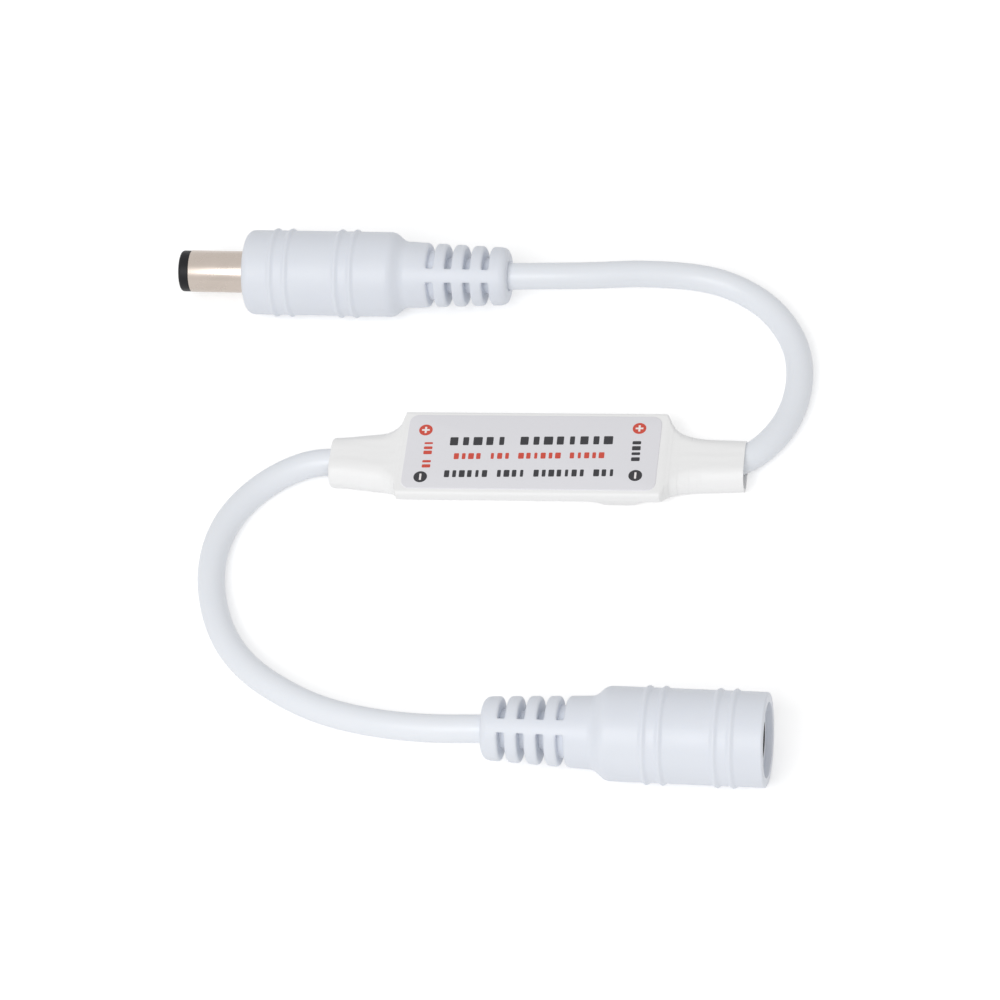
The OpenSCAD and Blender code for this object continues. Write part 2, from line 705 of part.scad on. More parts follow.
// Raised ring across a grip of radius r, centred at distance s from the tail
function bead(r, s) = [for (i = [-4 : 4]) [r + bead_h * cos(22.5 * i), s + bead_w * i / 8]];

// Half outline of a moulding: radius and distance from the tail
function mould_outline(r, tail_r, root_r, front_round) = concat(
    [[0, 0]],
    arc(tail_r - tail_round, tail_round, tail_round, -90, 0, 5),
    [for (i = [0 : 8]) [root_r + (r - root_r) * (1 - cos(22.5 * i)) / 2,
        relief_l + shoulder_l * i / 8]],
    [for (share = bead_pair_shares) for (side = [-1, 1])
        each bead(r, grip_from + share * grip_l + side * bead_pitch / 2)],
    arc(r - front_round, mould_l - front_round, front_round, 0, 90, 5),
    [[0, mould_l]]);

// Cuts for the slots of a strain relief, which leave a rib on either side
module relief_slots(d) {
    for (k = [0 : slot_count - 1])
        translate([0, 0, slot_first + k * slot_pitch - slot_w / 2]) difference() {
            cylinder(d = d, h = slot_w);
            cylinder(d = k == slot_count - 1 ? last_slot_core_d : slot_core_d, h = slot_w);
            translate([-d / 2, -rib_w / 2, -over]) cube([d, rib_w, slot_w + 2 * over]);
        }
}

// Moulding with its slots and the bore for the cable's jacket
module moulding(r, tail_r, root_r, front_round) {
    difference() {
        rotate_extrude() polygon(mould_outline(r, tail_r, root_r, front_round));
        relief_slots(2 * r);
        translate([0, 0, -over]) cylinder(r = cable_r + fit, h = grip_from + 2 * over);
    }
}

module plug_overmould() {
    color("aliceblue") at_plug() difference() {
        moulding(plug_r, plug_tail_d / 2, plug_root_d / 2, plug_round);
        translate([0, 0, inner_mould_at])
            cylinder(r = inner_mould_d / 2 + fit, h = inner_mould_l + fit);
        translate([0, 0, inner_mould_at])
            cylinder(r = inner_cavity_r, h = grip_l + over);
    }
}

module plug_inner_mould() {
    color("ivory") at_plug() translate([0, 0, inner_mould_at + fit]) difference() {
        cylinder(d = inner_mould_d, h = inner_mould_l - fit);
        translate([0, 0, inner_back_t])
            cylinder(r = inner_cavity_r, h = inner_mould_l + over);
        for (side = [-1, 1]) translate([0, side * lead_pitch / 2, -over])
            cylinder(r = lead_r + fit, h = inner_back_t + 2 * over);
    }
}

module plug_barrel() {
    color("silver") at_plug() {
        rotate_extrude() polygon([[barrel_bore_r, barrel_root_at],
            [barrel_root_r, barrel_root_at], [barrel_root_r, mould_l],
            [barrel_r, mould_l], [barrel_r, mould_l + barrel_l - tip_l],
            [barrel_bore_r, mould_l + barrel_l - tip_l]]);
        translate([-tag_w / 2, -tag_out, tag_at]) cube([tag_w, tag_t, tag_l + tag_t]);
    }
}

// Insulating tube between the barrel and the centre contact, with the black tip
module plug_insulator() {
    tip_r = barrel_r - tip_step;
    tip_round = tip_l * tip_round_share;
    front = mould_l + barrel_l;
    color("black") at_plug() rotate_extrude() polygon(concat(
        [[contact_r + fit, contact_floor - insulator_back_l],
            [barrel_bore_r - fit, contact_floor - insulator_back_l],
            [barrel_bore_r - fit, front - tip_l], [tip_r, front - tip_l]],
        arc(tip_r - tip_round, front - tip_round, tip_round, 0, 90, 4),
        [[contact_bore_d / 2 * tip_hole_share, front],
            [contact_bore_d / 2 * tip_hole_share, contact_front + fit],
            [contact_r + fit, contact_front + fit]]));
}

module plug_centre_contact() {
    color("gold") at_plug() difference() {
        union() {
            translate([0, 0, contact_floor - contact_back_l])
                cylinder(r = contact_r, h = contact_depth + contact_back_l);
            translate([0, 0, contact_tail_at])
                cylinder(d = contact_shank_d, h = contact_floor - contact_tail_at);
        }
        translate([0, 0, contact_floor])
            cylinder(d = contact_bore_d, h = contact_depth + over);
    }
}

// Lead inside a connector: from the jacket's end, straight to distance bend, then over
// to radius y, and square onto what it is soldered to at distance end
module inner_lead(side, bend, end, y) {
    from = side * lead_pitch / 2;
    tube([[0, from, jacket_in + fit], [0, from, bend], [0, y, end - lead_r], [0, y, end]],
        lead_r, 8, [1, 0, 0]);
}

module plug_positive_lead() {
    color("red") at_plug()
        inner_lead(1, inner_mould_at + inner_back_t + lead_r, contact_tail_at - fit, 0);
}

module plug_negative_lead() {
    color("black") at_plug()
        inner_lead(-1, inner_mould_at + inner_back_t + lead_r, tag_at - fit,
            lead_r + fit - inner_cavity_r);
}

module jack_overmould() {
    color("aliceblue") at_jack() difference() {
        moulding(jack_r, jack_tail_d / 2, jack_root_d / 2, jack_round);
        translate([0, 0, insert_at - fit])
            cylinder(d = collar_d, h = insert_l + insert_setback + over);
        translate([0, 0, jack_cavity_at])
            cylinder(r = jack_cavity_r, h = insert_at - jack_cavity_at);
    }
}

module jack_insert() {
    color("lightgray") at_jack() difference() {
        translate([0, 0, insert_at]) cylinder(r = insert_r, h = insert_l);
        translate([0, 0, socket_floor]) cylinder(d = socket_d, h = socket_depth + over);
        translate([0, 0, insert_at - over])
            cylinder(d = shank_d + 2 * fit, h = insert_l);
        translate([-tag_w / 2 - fit, -terminal_y - tag_t / 2 - fit, insert_at - over])
            cube([tag_w + 2 * fit, tag_t + 2 * fit, insert_l - socket_depth + 2 * over]);
        translate([-leaf_w / 2 - leaf_room, -pocket_depth, socket_floor])
            cube([leaf_w + 2 * leaf_room, pocket_depth, pivot_at + leaf_l + leaf_room]);
    }
}

module jack_centre_pin() {
    pin_r = pin_d / 2;
    front = insert_front - pin_setback;
    color("gold") at_jack() rotate_extrude() polygon(concat(
        [[0, shank_back], [shank_d / 2, shank_back], [shank_d / 2, socket_floor + fit],
            [pin_r, socket_floor + fit]],
        arc(pin_r - pin_round, front - pin_round, pin_round, 0, 90, 4),
        [[0, front]]));
}

module jack_sleeve_terminal() {
    back = insert_at - terminal_back_l;
    color("silver") at_jack() translate([-tag_w / 2, -terminal_y - tag_t / 2, back])
        cube([tag_w, tag_t, terminal_end - back]);
}

// Bent leaf that presses on the mating barrel; it turns about its rolled root
module jack_contact_spring() {
    // The crest's inner face is the one that stands past the socket's wall
    rise = terminal_y - socket_r + leaf_reach - leaf_t / 2;
    middle = concat([for (s = leaf_shares) [s[0] * leaf_crest_l, s[1] * rise]],
        [[leaf_l, leaf_end_share * rise]]);
    color("silver") at_jack() translate([0, -terminal_y, pivot_s]) rotate([0, -90, 0]) union() {
        cylinder(r = curl_r, h = leaf_w, center = true);
        linear_extrude(leaf_w, center = true)
            polygon(concat([for (p = middle) p + [0, leaf_t / 2]],
                [for (i = [len(middle) - 1 : -1 : 0]) middle[i] - [0, leaf_t / 2]]));
    }
}

module jack_positive_lead() {
    color("red") at_jack() inner_lead(1, jack_cavity_at, shank_back - fit, 0);
}

module jack_negative_lead() {
    color("black") at_jack()
        inner_lead(-1, jack_cavity_at, insert_at - terminal_back_l - fit,
            lead_r + fit - jack_cavity_r);
}

heat_shrink_sleeve();
label();
circuit_board();
power_mosfet();
microcontroller();
radio_receiver();
crystal();
voltage_regulator();
protection_diode();
buffer_capacitor();
ceramic_capacitors();
resistors();
antenna_coil();
solder_joints();
input_positive_lead();
input_negative_lead();
output_positive_lead();
output_negative_lead();
jack_cable();
plug_cable();
plug_overmould();
plug_inner_mould();
plug_barrel();
plug_insulator();
plug_centre_contact();
plug_positive_lead();
plug_negative_lead();
jack_overmould();
jack_insert();
jack_centre_pin();
jack_sleeve_terminal();
jack_contact_spring();
jack_positive_lead();
jack_negative_lead();
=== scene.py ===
"""Looks of an in-line LED strip controller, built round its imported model.

Sizes and places are in millimetres in the model's own frame, angles are in degrees, and
every mesh is written in metres.
"""

import bmesh
import bpy
import numpy as np
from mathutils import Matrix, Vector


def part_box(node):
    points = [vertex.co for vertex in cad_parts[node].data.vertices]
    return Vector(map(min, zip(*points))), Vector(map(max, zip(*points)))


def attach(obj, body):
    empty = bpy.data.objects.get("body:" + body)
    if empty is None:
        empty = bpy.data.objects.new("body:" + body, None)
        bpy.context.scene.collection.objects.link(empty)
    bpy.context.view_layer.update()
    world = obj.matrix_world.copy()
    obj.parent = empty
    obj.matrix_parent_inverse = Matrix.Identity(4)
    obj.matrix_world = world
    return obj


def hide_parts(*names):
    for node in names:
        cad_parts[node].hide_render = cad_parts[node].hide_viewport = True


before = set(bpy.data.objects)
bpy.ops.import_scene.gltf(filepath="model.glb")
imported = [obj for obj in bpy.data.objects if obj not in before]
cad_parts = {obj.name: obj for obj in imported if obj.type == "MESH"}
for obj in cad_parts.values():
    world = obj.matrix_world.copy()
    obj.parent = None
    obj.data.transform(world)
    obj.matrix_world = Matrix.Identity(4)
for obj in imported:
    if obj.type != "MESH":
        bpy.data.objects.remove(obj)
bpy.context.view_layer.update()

MM = 0.001

# Points of a mesh nearer to each other than this, in metres, are merged, and its edges that
# bend by more than this angle look sharp
MERGE_DISTANCE = 1e-7
SHARP_ANGLE = 38

# The camera stands where the photograph was taken from
CAMERA_TARGET = (-4.7, -4.0, 0.0)
CAMERA_DISTANCE = 637.9
CAMERA_AZIMUTH = 15.64
CAMERA_ELEVATION = 52.12
CAMERA_ROLL = -11.83
CAMERA_LENS = 180.0
CAMERA_SENSOR = 36.0
CAMERA_CLIP = (20.0, 20000.0)

# Floor and light. The two glows are strengths and the lamp's power is in watts
FLOOR_HALF = 600
FLOOR_DROP = 0.02
FLOOR_GLOW = 0.36
WORLD_GLOW = 0.71
KEY_AZIMUTH = -15
KEY_ELEVATION = 50
KEY_DISTANCE = 900
KEY_SIDE = 450
KEY_POWER = 3.0

# Values between which the noise in a finish mostly stays
NOISE_LOW, NOISE_HIGH = 0.3, 0.7

# How many points each curve or turn gets, enough to look smooth
ROUTE_STEPS = 6
CABLE_COLUMNS = 40
SEGMENT_POINTS = 17
RIB_POINTS = 5
PLAIN_POINTS = 13
SHOULDER_STEPS = 16
BEAD_POINTS = 15
BARREL_COLUMNS = 128
PIN_COLUMNS = 64
POCKET_COLUMNS = 9
SOCKET_COLUMNS = 100
CURL_POINTS = 16
LEAF_POINTS = 40
FILM_STATIONS = 110
CURL_STATIONS = 10
RIM_STATIONS = 8
FILM_COLUMNS = 200
LABEL_EDGE_POINTS = 5

# Cable, from the sleeve's mouth to each connector, and how far it runs on inside there
CABLE_R = 1.75
SLEEVE_L = 53.4
MOUTH_X = SLEEVE_L / 2
JACKET_IN = 12.5
PLUG_ROUTE = [
    (20.5, 0, 2.2), (24.25, 0, 2.2), (27.5, 1.5, 2.2), (30.25, 5, 2), (31.75, 8.5, 1.75),
    (32.5, 12.25, 1.75), (32.5, 16, 1.75), (31.75, 19.75, 1.75), (30, 23.25, 1.75),
    (27.75, 26.25, 1.75), (24.75, 28.5, 2), (21.25, 30, 2.5), (17.5, 30.5, 3),
    (13.5, 30.25, 3.75), (9.5, 29.75, 4.5), (5.5, 29, 5), (1.5, 28.5, 5.5),
    (-2.5, 28.25, 5.75),
]
JACK_ROUTE = [
    (-20.9, 0, 2.2), (-25, 0, 2.2), (-28.5, 0.25, 2.2), (-32, -1, 2), (-35.25, -3.25, 1.75),
    (-37.75, -6.25, 1.75), (-39.5, -9.75, 1.75), (-40.25, -13.5, 1.75),
    (-40.25, -17.5, 1.75), (-39.5, -21.25, 1.75), (-38.25, -25, 2), (-36.5, -28.5, 2.25),
    (-34.25, -31.5, 2.5), (-31.5, -34.25, 3), (-28.5, -36.5, 3.5), (-25, -38.75, 4),
    (-21.25, -40.5, 4.5), (-17.5, -41.75, 5), (-13.5, -42.75, 5.5), (-9.5, -43.25, 5.75),
    (-5.5, -43.5, 6),
]

# Connector mouldings, measured from the tail. Each ROUND is the radius of a rounded edge,
# and the segments' edges come in over EDGE_FADE beside a rib
MOULD_L = 34.9
RELIEF_L = 13.4
SHOULDER_L = 2.2
SHOULDER_EASE = 0.6
GRIP_AT = RELIEF_L + SHOULDER_L
GRIP_START = 0.4
SLOT_COUNT = 4
SLOT_FIRST = 2.7
SLOT_PITCH = 2.43
SLOT_W = 0.85
SLOT_CORE_R = 2.3
LAST_CORE_R = 3.2
RIB_W = 1.64
TAIL_ROUND = 0.9
BORE_ROUND = 0.3
RIM_ROUND = 0.12
EDGE_ROUND = 0.42
EDGE_FADE = 0.6
LIP_ROUND = 0.12
# Grid lines of a slot: on its wall as shares of the depth, over its lip as shares of the
# lip's width, and beyond the lip in degrees, up to where even steps begin
WALL_SHARES = (0.5, 0.93, 1)
LIP_SHARES = (0.5, 0.87, 1)
PAST_LIP = (0, 1.5, 3.5, 6, 9)
PLAIN_FROM = 13
# Middles of the two pairs of raised rings, as shares of the grip's length
BEAD_SHARES = (0.295, 0.744)
BEAD_PITCH = 2.0
BEAD_H = 0.27
BEAD_W = 1.15
FIT = 0.05

# DC plug: where its tail lies, its turn about the vertical, its roll about its own axis, and
# then its sizes. The relief has one radius at the tail and one at the shoulder
PLUG_TAIL = (-6.2, 28.1, 5.82)
PLUG_TURN = 179.0
PLUG_ROLL = -40.0
PLUG_R = 5.55
PLUG_RELIEF_R = (3.75, 4.35)
PLUG_ROUND = 1.0
PLUG_LIP_L = 0.3
BARREL_R = 2.75
BARREL_BORE_R = 2.35
BARREL_ROOT_R = 2.55
BARREL_ROOT_L = 8.0
BARREL_STEP_L = 0.02
BARREL_EDGE_R = 0.08
BARREL_L = 9.0
CONTACT_R = 1.35
CONTACT_BORE_R = 1.05
TIP_L = 1.35
TIP_STEP = 0.05
TIP_GAP = 0.01
TIP_BEVEL = 0.05
TIP_ROUND = 0.4
TIP_HOLE_R = CONTACT_BORE_R * 1.15
TIP_HOLE_ROUND = 0.15
CONTACT_SETBACK = 1.6
CONTACT_DEPTH = 8.6
CONTACT_BACK_L = 2.5
CONTACT_SHANK_R = 0.6
CONTACT_TAIL_AT = 23.95
INSULATOR_AT = 30.9
INNER_MOULD_R = 4.0
INNER_MOULD_L = 14.5

# DC jack, in the same order
JACK_TAIL = (-1.6, -43.3, 6.07)
JACK_TURN = -1.6
JACK_ROLL = 28.0
JACK_R = 5.8
JACK_RELIEF_R = (3.9, 4.5)
JACK_ROUND = 0.3
COLLAR_R = 4.6
INSERT_SETBACK = 0.8
INSERT_L = 13.5
INSERT_EDGE_R = 0.1
SOCKET_R = 2.85
SOCKET_DEPTH = 9.5
SOCKET_LEAD_IN = 0.2
# Inside the socket, the painted shade reaches to this far within the collar
SHADE_INSET = 0.2
POCKET_R = 3.7
POCKET_W = 1.8
POCKET_STEP_L = 0.1
JACK_CAVITY_R = 4.05
PIN_R = 1.0
PIN_SETBACK = 0.2
PIN_ROUND = 0.3
SHANK_R = 0.7
SHANK_L = 1.0
LEAF_ROOT_Y = -3.3
LEAF_PIVOT_S = 26.2
LEAF_T = 0.2
LEAF_W = 1.3
LEAF_L = 6.0
LEAF_ROOM = 0.25
# The leaf's crest is this far from the pivot and this high. Past it the blend down would take
# that share of the rise, if the leaf ran on by LEAF_FALL_EASE
LEAF_CREST = 4.2
LEAF_RISE = 0.75
LEAF_FALL_SHARE = 0.7
LEAF_FALL_EASE = 0.6
CURL_R = 0.3

# Shrunk film over the board. HUG is how far its outer face stands off what it covers
FILM_T = 0.4
HUG = FILM_T + FIT
NECK_W = 7.1
NECK_R = 2.2
NECK_FLARE_L = 5.0
INPUT_NECK_FLARE = 1.3
OUTPUT_NECK_FLARE = 0.4
INPUT_SLOPE_L = 2.8
OUTPUT_SLOPE_L = 5.0
# Slopes from the board to the necks: share of the length gone, share of the way up left
INPUT_SLOPE = [(0, 1), (0.06, 0.8), (0.15, 0.5), (0.36, 0.27), (0.6, 0.125), (0.83, 0.03), (1, 0)]
OUTPUT_SLOPE = [(0, 1), (0.04, 0.86), (0.1, 0.66), (0.22, 0.38), (0.42, 0.19), (0.7, 0.07), (1, 0)]
# Fine stations beside the board's ends: from, to and how many
INPUT_FINE = (-3.6, 0.2, 48)
OUTPUT_FINE = (-0.2, 5.4, 56)
BASE_W = 6.0
BASE_H = 0.6
COIL_R = 1.3
COIL_SLOPE_L = 1.4
# Dips under the board: depth, reach from a part's edge, and the height at which they begin
# and the height below that over which they come in
DIP_DEPTH = 0.5
DIP_REACH = 1.6
DIP_TOP = 2.6
DIP_FADE = 1.6
# Wrinkles are gone where this many times a slope's share of the way up is 1
WRINKLE_FADE = 1.4
WRINKLE_H = 0.05
# At the mouths: fine stations, the curl at the input, and the length that isn't eased
MOUTH_RIM_L = 0.5
MOUTH_CURL_L = 0.6
MOUTH_CURL_H = 0.3
MOUTH_PLAIN_L = 1.0

# Label and the print on it
LABEL_CORNER_R = 1.2
LABEL_EDGE_R = 0.06
INK_H = 0.01
INK_SINK = 0.02
PRINT_CENTRE = (-0.65, -0.09)
PRINT_TURN = 1.13
# The round marks stand this far along and across from the middle of the print
MARK_SPREAD = (13.775, 3.755)
MARK_R = 0.875
SIGN_L = 1.0
SIGN_W = 0.26
SIGN_CORNER_R = 0.05
# Blocks in the place of words: their widths in turn, the share of its cell that a block
# fills, the gap between runs in cells, and the round corner
BLOCK_CYCLE = (1.0, 0.72, 1.12, 0.86, 0.6)
BLOCK_SHARE = 0.68
RUN_GAP = 0.9
BLOCK_CORNER_R = 0.12
# Rows of blocks: start, end, place across, height, blocks in each run, upright or not
RED_ROWS = [
    (-9.9, 9.7, -0.5, 0.95, (4, 3, 6, 5), False), (-2.4, 2.0, -13.2, 1.1, (2, 3), True),
]
BLACK_ROWS = [
    (-10.7, 10.7, 1.9, 1.3, (5, 8), False), (-10.9, 11.2, -3.3, 1.1, (6, 4, 7, 3), False),
    (-1.6, 1.9, 13.6, 1.1, (4,), True),
]


def unit(vectors):
    """Each vector divided by its own length."""
    return vectors / np.linalg.norm(vectors, axis=-1, keepdims=True)


def smooth(share):
    """Blend with level ends: 3 t squared less 2 t cubed, with t held from 0 to 1."""
    t = np.clip(share, 0, 1)
    return t * t * (3 - 2 * t)


def full_turn(count):
    """Angles in even steps once round, in radians."""
    return np.linspace(0, 2 * np.pi, count, endpoint=False)


def grid_faces(rows, columns, loop):
    """Corner numbers of the quads between neighbouring points of a grid, in row order. The
    last column joins the first, and in a loop the last row does too."""
    r = np.arange(rows if loop else rows - 1)[:, None]
    c = np.arange(columns)[None, :]
    corners = [(r, c), (r, c + 1), (r + 1, c + 1), (r + 1, c)]
    return np.stack([(i % rows) * columns + j % columns for i, j in corners], -1).reshape(-1, 4)


def piece(name, grids, material, body="root", replaces=(), loop=False):
    """One object from grids of points (rows, columns, 3), whose columns run round. A loop
    closes the rows too. Points that meet are merged, which closes seams and poles."""
    points, faces, count = [], [], 0
    for grid in grids:
        rows, columns = grid.shape[:2]
        points.append(grid.reshape(-1, 3))
        faces.append(grid_faces(rows, columns, loop) + count)
        count += rows * columns
    mesh = bpy.data.meshes.new(name)
    mesh.from_pydata((np.concatenate(points) * MM).tolist(), [], np.concatenate(faces).tolist())
    work = bmesh.new()
    work.from_mesh(mesh)
    bmesh.ops.remove_doubles(work, verts=work.verts, dist=MERGE_DISTANCE)
    bmesh.ops.recalc_face_normals(work, faces=work.faces)
    work.to_mesh(mesh)
    work.free()
    mesh.shade_smooth()
    mesh.set_sharp_from_angle(angle=np.radians(SHARP_ANGLE))
    mesh.materials.append(material)
    made = bpy.data.objects.new(name, mesh)
    bpy.context.scene.collection.objects.link(made)
    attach(made, body)
    if replaces:
        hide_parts(*replaces)
    return made


def arc(r, s, radius, start, end, steps):
    """Points of a circle's arc about (r, s), from angle start to angle end."""
    a = np.radians(np.linspace(start, end, steps + 1))
    return list(zip(r + radius * np.cos(a), s + radius * np.sin(a)))


def swept_profile(profile, a):
    """Grid of a profile of (radius, distance) at the angles a round the distance axis."""
    profile = np.array(profile, float)
    return np.stack([
        profile[:, :1] * np.cos(a), profile[:, :1] * np.sin(a),
        np.repeat(profile[:, 1:], len(a), 1)], -1)


def lathe(profile, columns):
    """Grid of a profile of (radius, distance) turned once round the distance axis."""
    return swept_profile(profile, full_turn(columns))


def laid(points, tail, turn, roll):
    """Points made along +Z from a connector's tail, rolled about Z, laid down along +X and
    turned about the vertical, and then moved to where the tail lies."""
    roll, turn = np.radians(roll), np.radians(turn)
    x = points[..., 0] * np.cos(roll) - points[..., 1] * np.sin(roll)
    y = points[..., 0] * np.sin(roll) + points[..., 1] * np.cos(roll)
    along, across, up = points[..., 2], y, -x
    return np.stack([
        along * np.cos(turn) - across * np.sin(turn) + tail[0],
        along * np.sin(turn) + across * np.cos(turn) + tail[1], up + tail[2]], -1)


def at_plug(points):
    """Points in the plug's own frame, moved to where the plug lies."""
    return laid(points, PLUG_TAIL, PLUG_TURN, PLUG_ROLL)


def at_jack(points):
    """Points in the jack's own frame, moved to where the jack lies."""
    return laid(points, JACK_TAIL, JACK_TURN, JACK_ROLL)


def hex_colour(code):
    """Linear opaque colour of an sRGB hex code: a power of 2.4, and a straight part near
    black."""
    s = np.array([int(code[i:i + 2], 16) for i in (0, 2, 4)]) / 255
    linear = np.where(s <= 0.04045, s / 12.92, ((s + 0.055) / 1.055) ** 2.4)
    return (*linear.tolist(), 1.0)


def add(tree, kind, inputs=None, **settings):
    """Adds a node with its settings. An input is a value, or a socket to link it to."""
    made = tree.nodes.new(kind)
    for name, value in settings.items():
        setattr(made, name, value)
    for name, value in (inputs or {}).items():
        if isinstance(value, bpy.types.NodeSocket):
            tree.links.new(value, made.inputs[name])
        else:
            made.inputs[name].default_value = value
    return made


def surface(name, shades, roughness, patch, grain, depth, stretch=(1, 1, 1), turn=0.0, **sockets):
    """Finish with two shades and a roughness that drift over patches, and a grain as bump.
    Patch and grain are the sizes of their features and depth is the height of the grain.
    Stretch draws the grain out along the axes, after a turn about the vertical."""
    made = bpy.data.materials.new(name)
    made.use_nodes = True
    tree = made.node_tree
    shader = tree.nodes["Principled BSDF"]
    place = add(tree, "ShaderNodeTexCoord").outputs["Object"]
    drawn = add(tree, "ShaderNodeMapping", {
        "Vector": place, "Rotation": (0, 0, -np.radians(turn)),
        "Scale": [1 / s for s in stretch]}).outputs["Vector"]
    patches, grains = [
        add(tree, "ShaderNodeTexNoise", {
            "Vector": at, "Scale": 1 / (feature * MM), "Detail": 2.0}).outputs[0]
        for at, feature in ((place, patch), (drawn, grain))]
    colour = add(tree, "ShaderNodeMixRGB", {
        "Fac": patches, "Color1": hex_colour(shades[0]), "Color2": hex_colour(shades[1])})
    rough = add(tree, "ShaderNodeMapRange", {
        "Value": patches, "From Min": NOISE_LOW, "From Max": NOISE_HIGH,
        "To Min": roughness[0], "To Max": roughness[1]})
    bump = add(tree, "ShaderNodeBump", {"Height": grains, "Distance": depth * MM})
    tree.links.new(colour.outputs["Color"], shader.inputs["Base Color"])
    tree.links.new(rough.outputs["Result"], shader.inputs["Roughness"])
    tree.links.new(bump.outputs["Normal"], shader.inputs["Normal"])
    for socket, value in sockets.items():
        shader.inputs[socket.replace("_", " ")].default_value = value
    return made


# Polyolefin heat-shrink film: soft white with a low sheen, drawn out along the sleeve
shrunk_film = surface(
    "shrunk_polyolefin_film", ("f9f9f9", "fbfbfb"), (0.42, 0.55), 6, 0.5, 0.012,
    stretch=(6, 1, 1), IOR=1.5, Specular_IOR_Level=0.4)
# Vinyl label: pale cool grey with a satin face, smoother than the film
label_vinyl = surface(
    "printed_vinyl_label", ("e9e9ed", "ecebf0"), (0.38, 0.46), 9, 0.35, 0.004, IOR=1.5)
# Screen-printed ink: matt, a little uneven in density
black_ink = surface("black_screen_ink", ("26262a", "333338"), (0.5, 0.6), 0.5, 0.08, 0.002)
red_ink = surface("red_screen_ink", ("cf4534", "db5644"), (0.5, 0.6), 0.5, 0.08, 0.002)
white_ink = surface("white_screen_ink", ("f4efee", "fbf7f6"), (0.5, 0.6), 0.5, 0.08, 0.002)
# Injection-moulded soft PVC: bluish white, from a finely spark-eroded tool, a little
# translucent. Its real grain is finer than shows, so it is drawn at a third of a millimetre
moulded_pvc = surface(
    "moulded_soft_pvc", ("e3e7f0", "e9edf4"), (0.4, 0.5), 7, 0.33, 0.006, IOR=1.53,
    Subsurface_Weight=0.08, Subsurface_Radius=(1.0, 0.9, 0.8), Subsurface_Scale=0.0006)
# Extruded PVC jacket: the same white, smoother and a little glossier than the mouldings
cable_pvc = surface(
    "extruded_pvc_jacket", ("edf1f7", "f1f4fa"), (0.34, 0.44), 5, 0.6, 0.006, IOR=1.53,
    Subsurface_Weight=0.06, Subsurface_Radius=(1.0, 0.9, 0.8), Subsurface_Scale=0.0006)
# Nickel plate on turned brass: warm grey metal with fine rings left by the tool
nickel = surface(
    "turned_nickel_plate", ("beb3aa", "c8bdb4"), (0.24, 0.32), 2.5, 0.12, 0.0012,
    stretch=(1, 30, 30), turn=PLUG_TURN, Metallic=1.0)
# Moulded acetal tip: near black with a soft sheen
black_acetal = surface(
    "moulded_black_acetal", ("17171a", "1f1f22"), (0.4, 0.5), 1.5, 0.15, 0.004,
    IOR=1.48, Specular_IOR_Level=0.25)
# Moulded ABS insert: hard bluish white, glossier than the soft PVC
insert_abs = surface(
    "moulded_abs_insert", ("dde1ea", "e4e8ef"), (0.28, 0.36), 4, 0.4, 0.003, IOR=1.54)
# Painted shade: near black on the socket's wall and its rounded lead-in, for the shadow inside the
# socket
painted_socket_shade = surface(
    "painted_shade_in_socket", ("1b1b20", "222228"), (0.4, 0.5), 1.5, 0.15, 0.004, IOR=1.5)
# Plated phosphor bronze strip: pale warm metal with a rolled grain along the strip
bronze = surface(
    "plated_phosphor_bronze", ("c9b184", "d5c096"), (0.25, 0.35), 1.2, 0.1, 0.0012,
    stretch=(30, 1, 1), turn=JACK_TURN, Metallic=1.0)
# Nylon pre-mould inside the plug: ivory, slightly waxy
nylon = surface("moulded_nylon", ("dcd8cb", "e2dfd3"), (0.4, 0.5), 4, 0.3, 0.004, IOR=1.53)
# Solder mask over glass-epoxy laminate: deep green with the weave just showing
solder_mask = surface(
    "solder_mask_on_laminate", ("1b5a34", "236b3f"), (0.25, 0.35), 1.8, 0.45, 0.01,
    stretch=(1, 1, 4), IOR=1.55)
# Transfer-moulded epoxy: charcoal with a fine matt grain
epoxy = surface("moulded_epoxy", ("29292b", "333335"), (0.55, 0.65), 1, 0.08, 0.004, IOR=1.55)
# Stamped and plated crystal lid
crystal_lid = surface(
    "plated_kovar_lid", ("c5c4c1", "d2d1ce"), (0.22, 0.32), 1, 0.1, 0.001,
    stretch=(8, 1, 1), Metallic=1.0)
# Shrunk dark sleeve over the capacitor's aluminium can
can_film = surface("dark_can_film", ("23263f", "2d3150"), (0.25, 0.35), 2, 0.3, 0.004, IOR=1.5)
# Fired ceramic body: sandy tan
ceramic = surface("fired_ceramic", ("a98f6d", "b89e7c"), (0.45, 0.55), 0.8, 0.1, 0.003, IOR=1.6)
# Glass glaze over the resistor film
glaze = surface("resistor_glaze", ("1c1c1f", "252528"), (0.2, 0.3), 0.6, 0.1, 0.002, IOR=1.52)
# Drawn copper wire
copper = surface(
    "drawn_copper_wire", ("b5764c", "c58960"), (0.25, 0.35), 0.8, 0.1, 0.001, Metallic=1.0)
# Tin solder, bright with slight ripples
solder = surface(
    "bright_tin_solder", ("c8c9cb", "d6d7d9"), (0.18, 0.3), 0.7, 0.3, 0.01, Metallic=1.0)
# Extruded insulation of the leads inside
red_pvc = surface("red_pvc_lead", ("b3231c", "c02d25"), (0.4, 0.5), 2, 0.2, 0.004, IOR=1.53)
black_pvc = surface("black_pvc_lead", ("1d1d1f", "27272a"), (0.4, 0.5), 2, 0.2, 0.004, IOR=1.53)

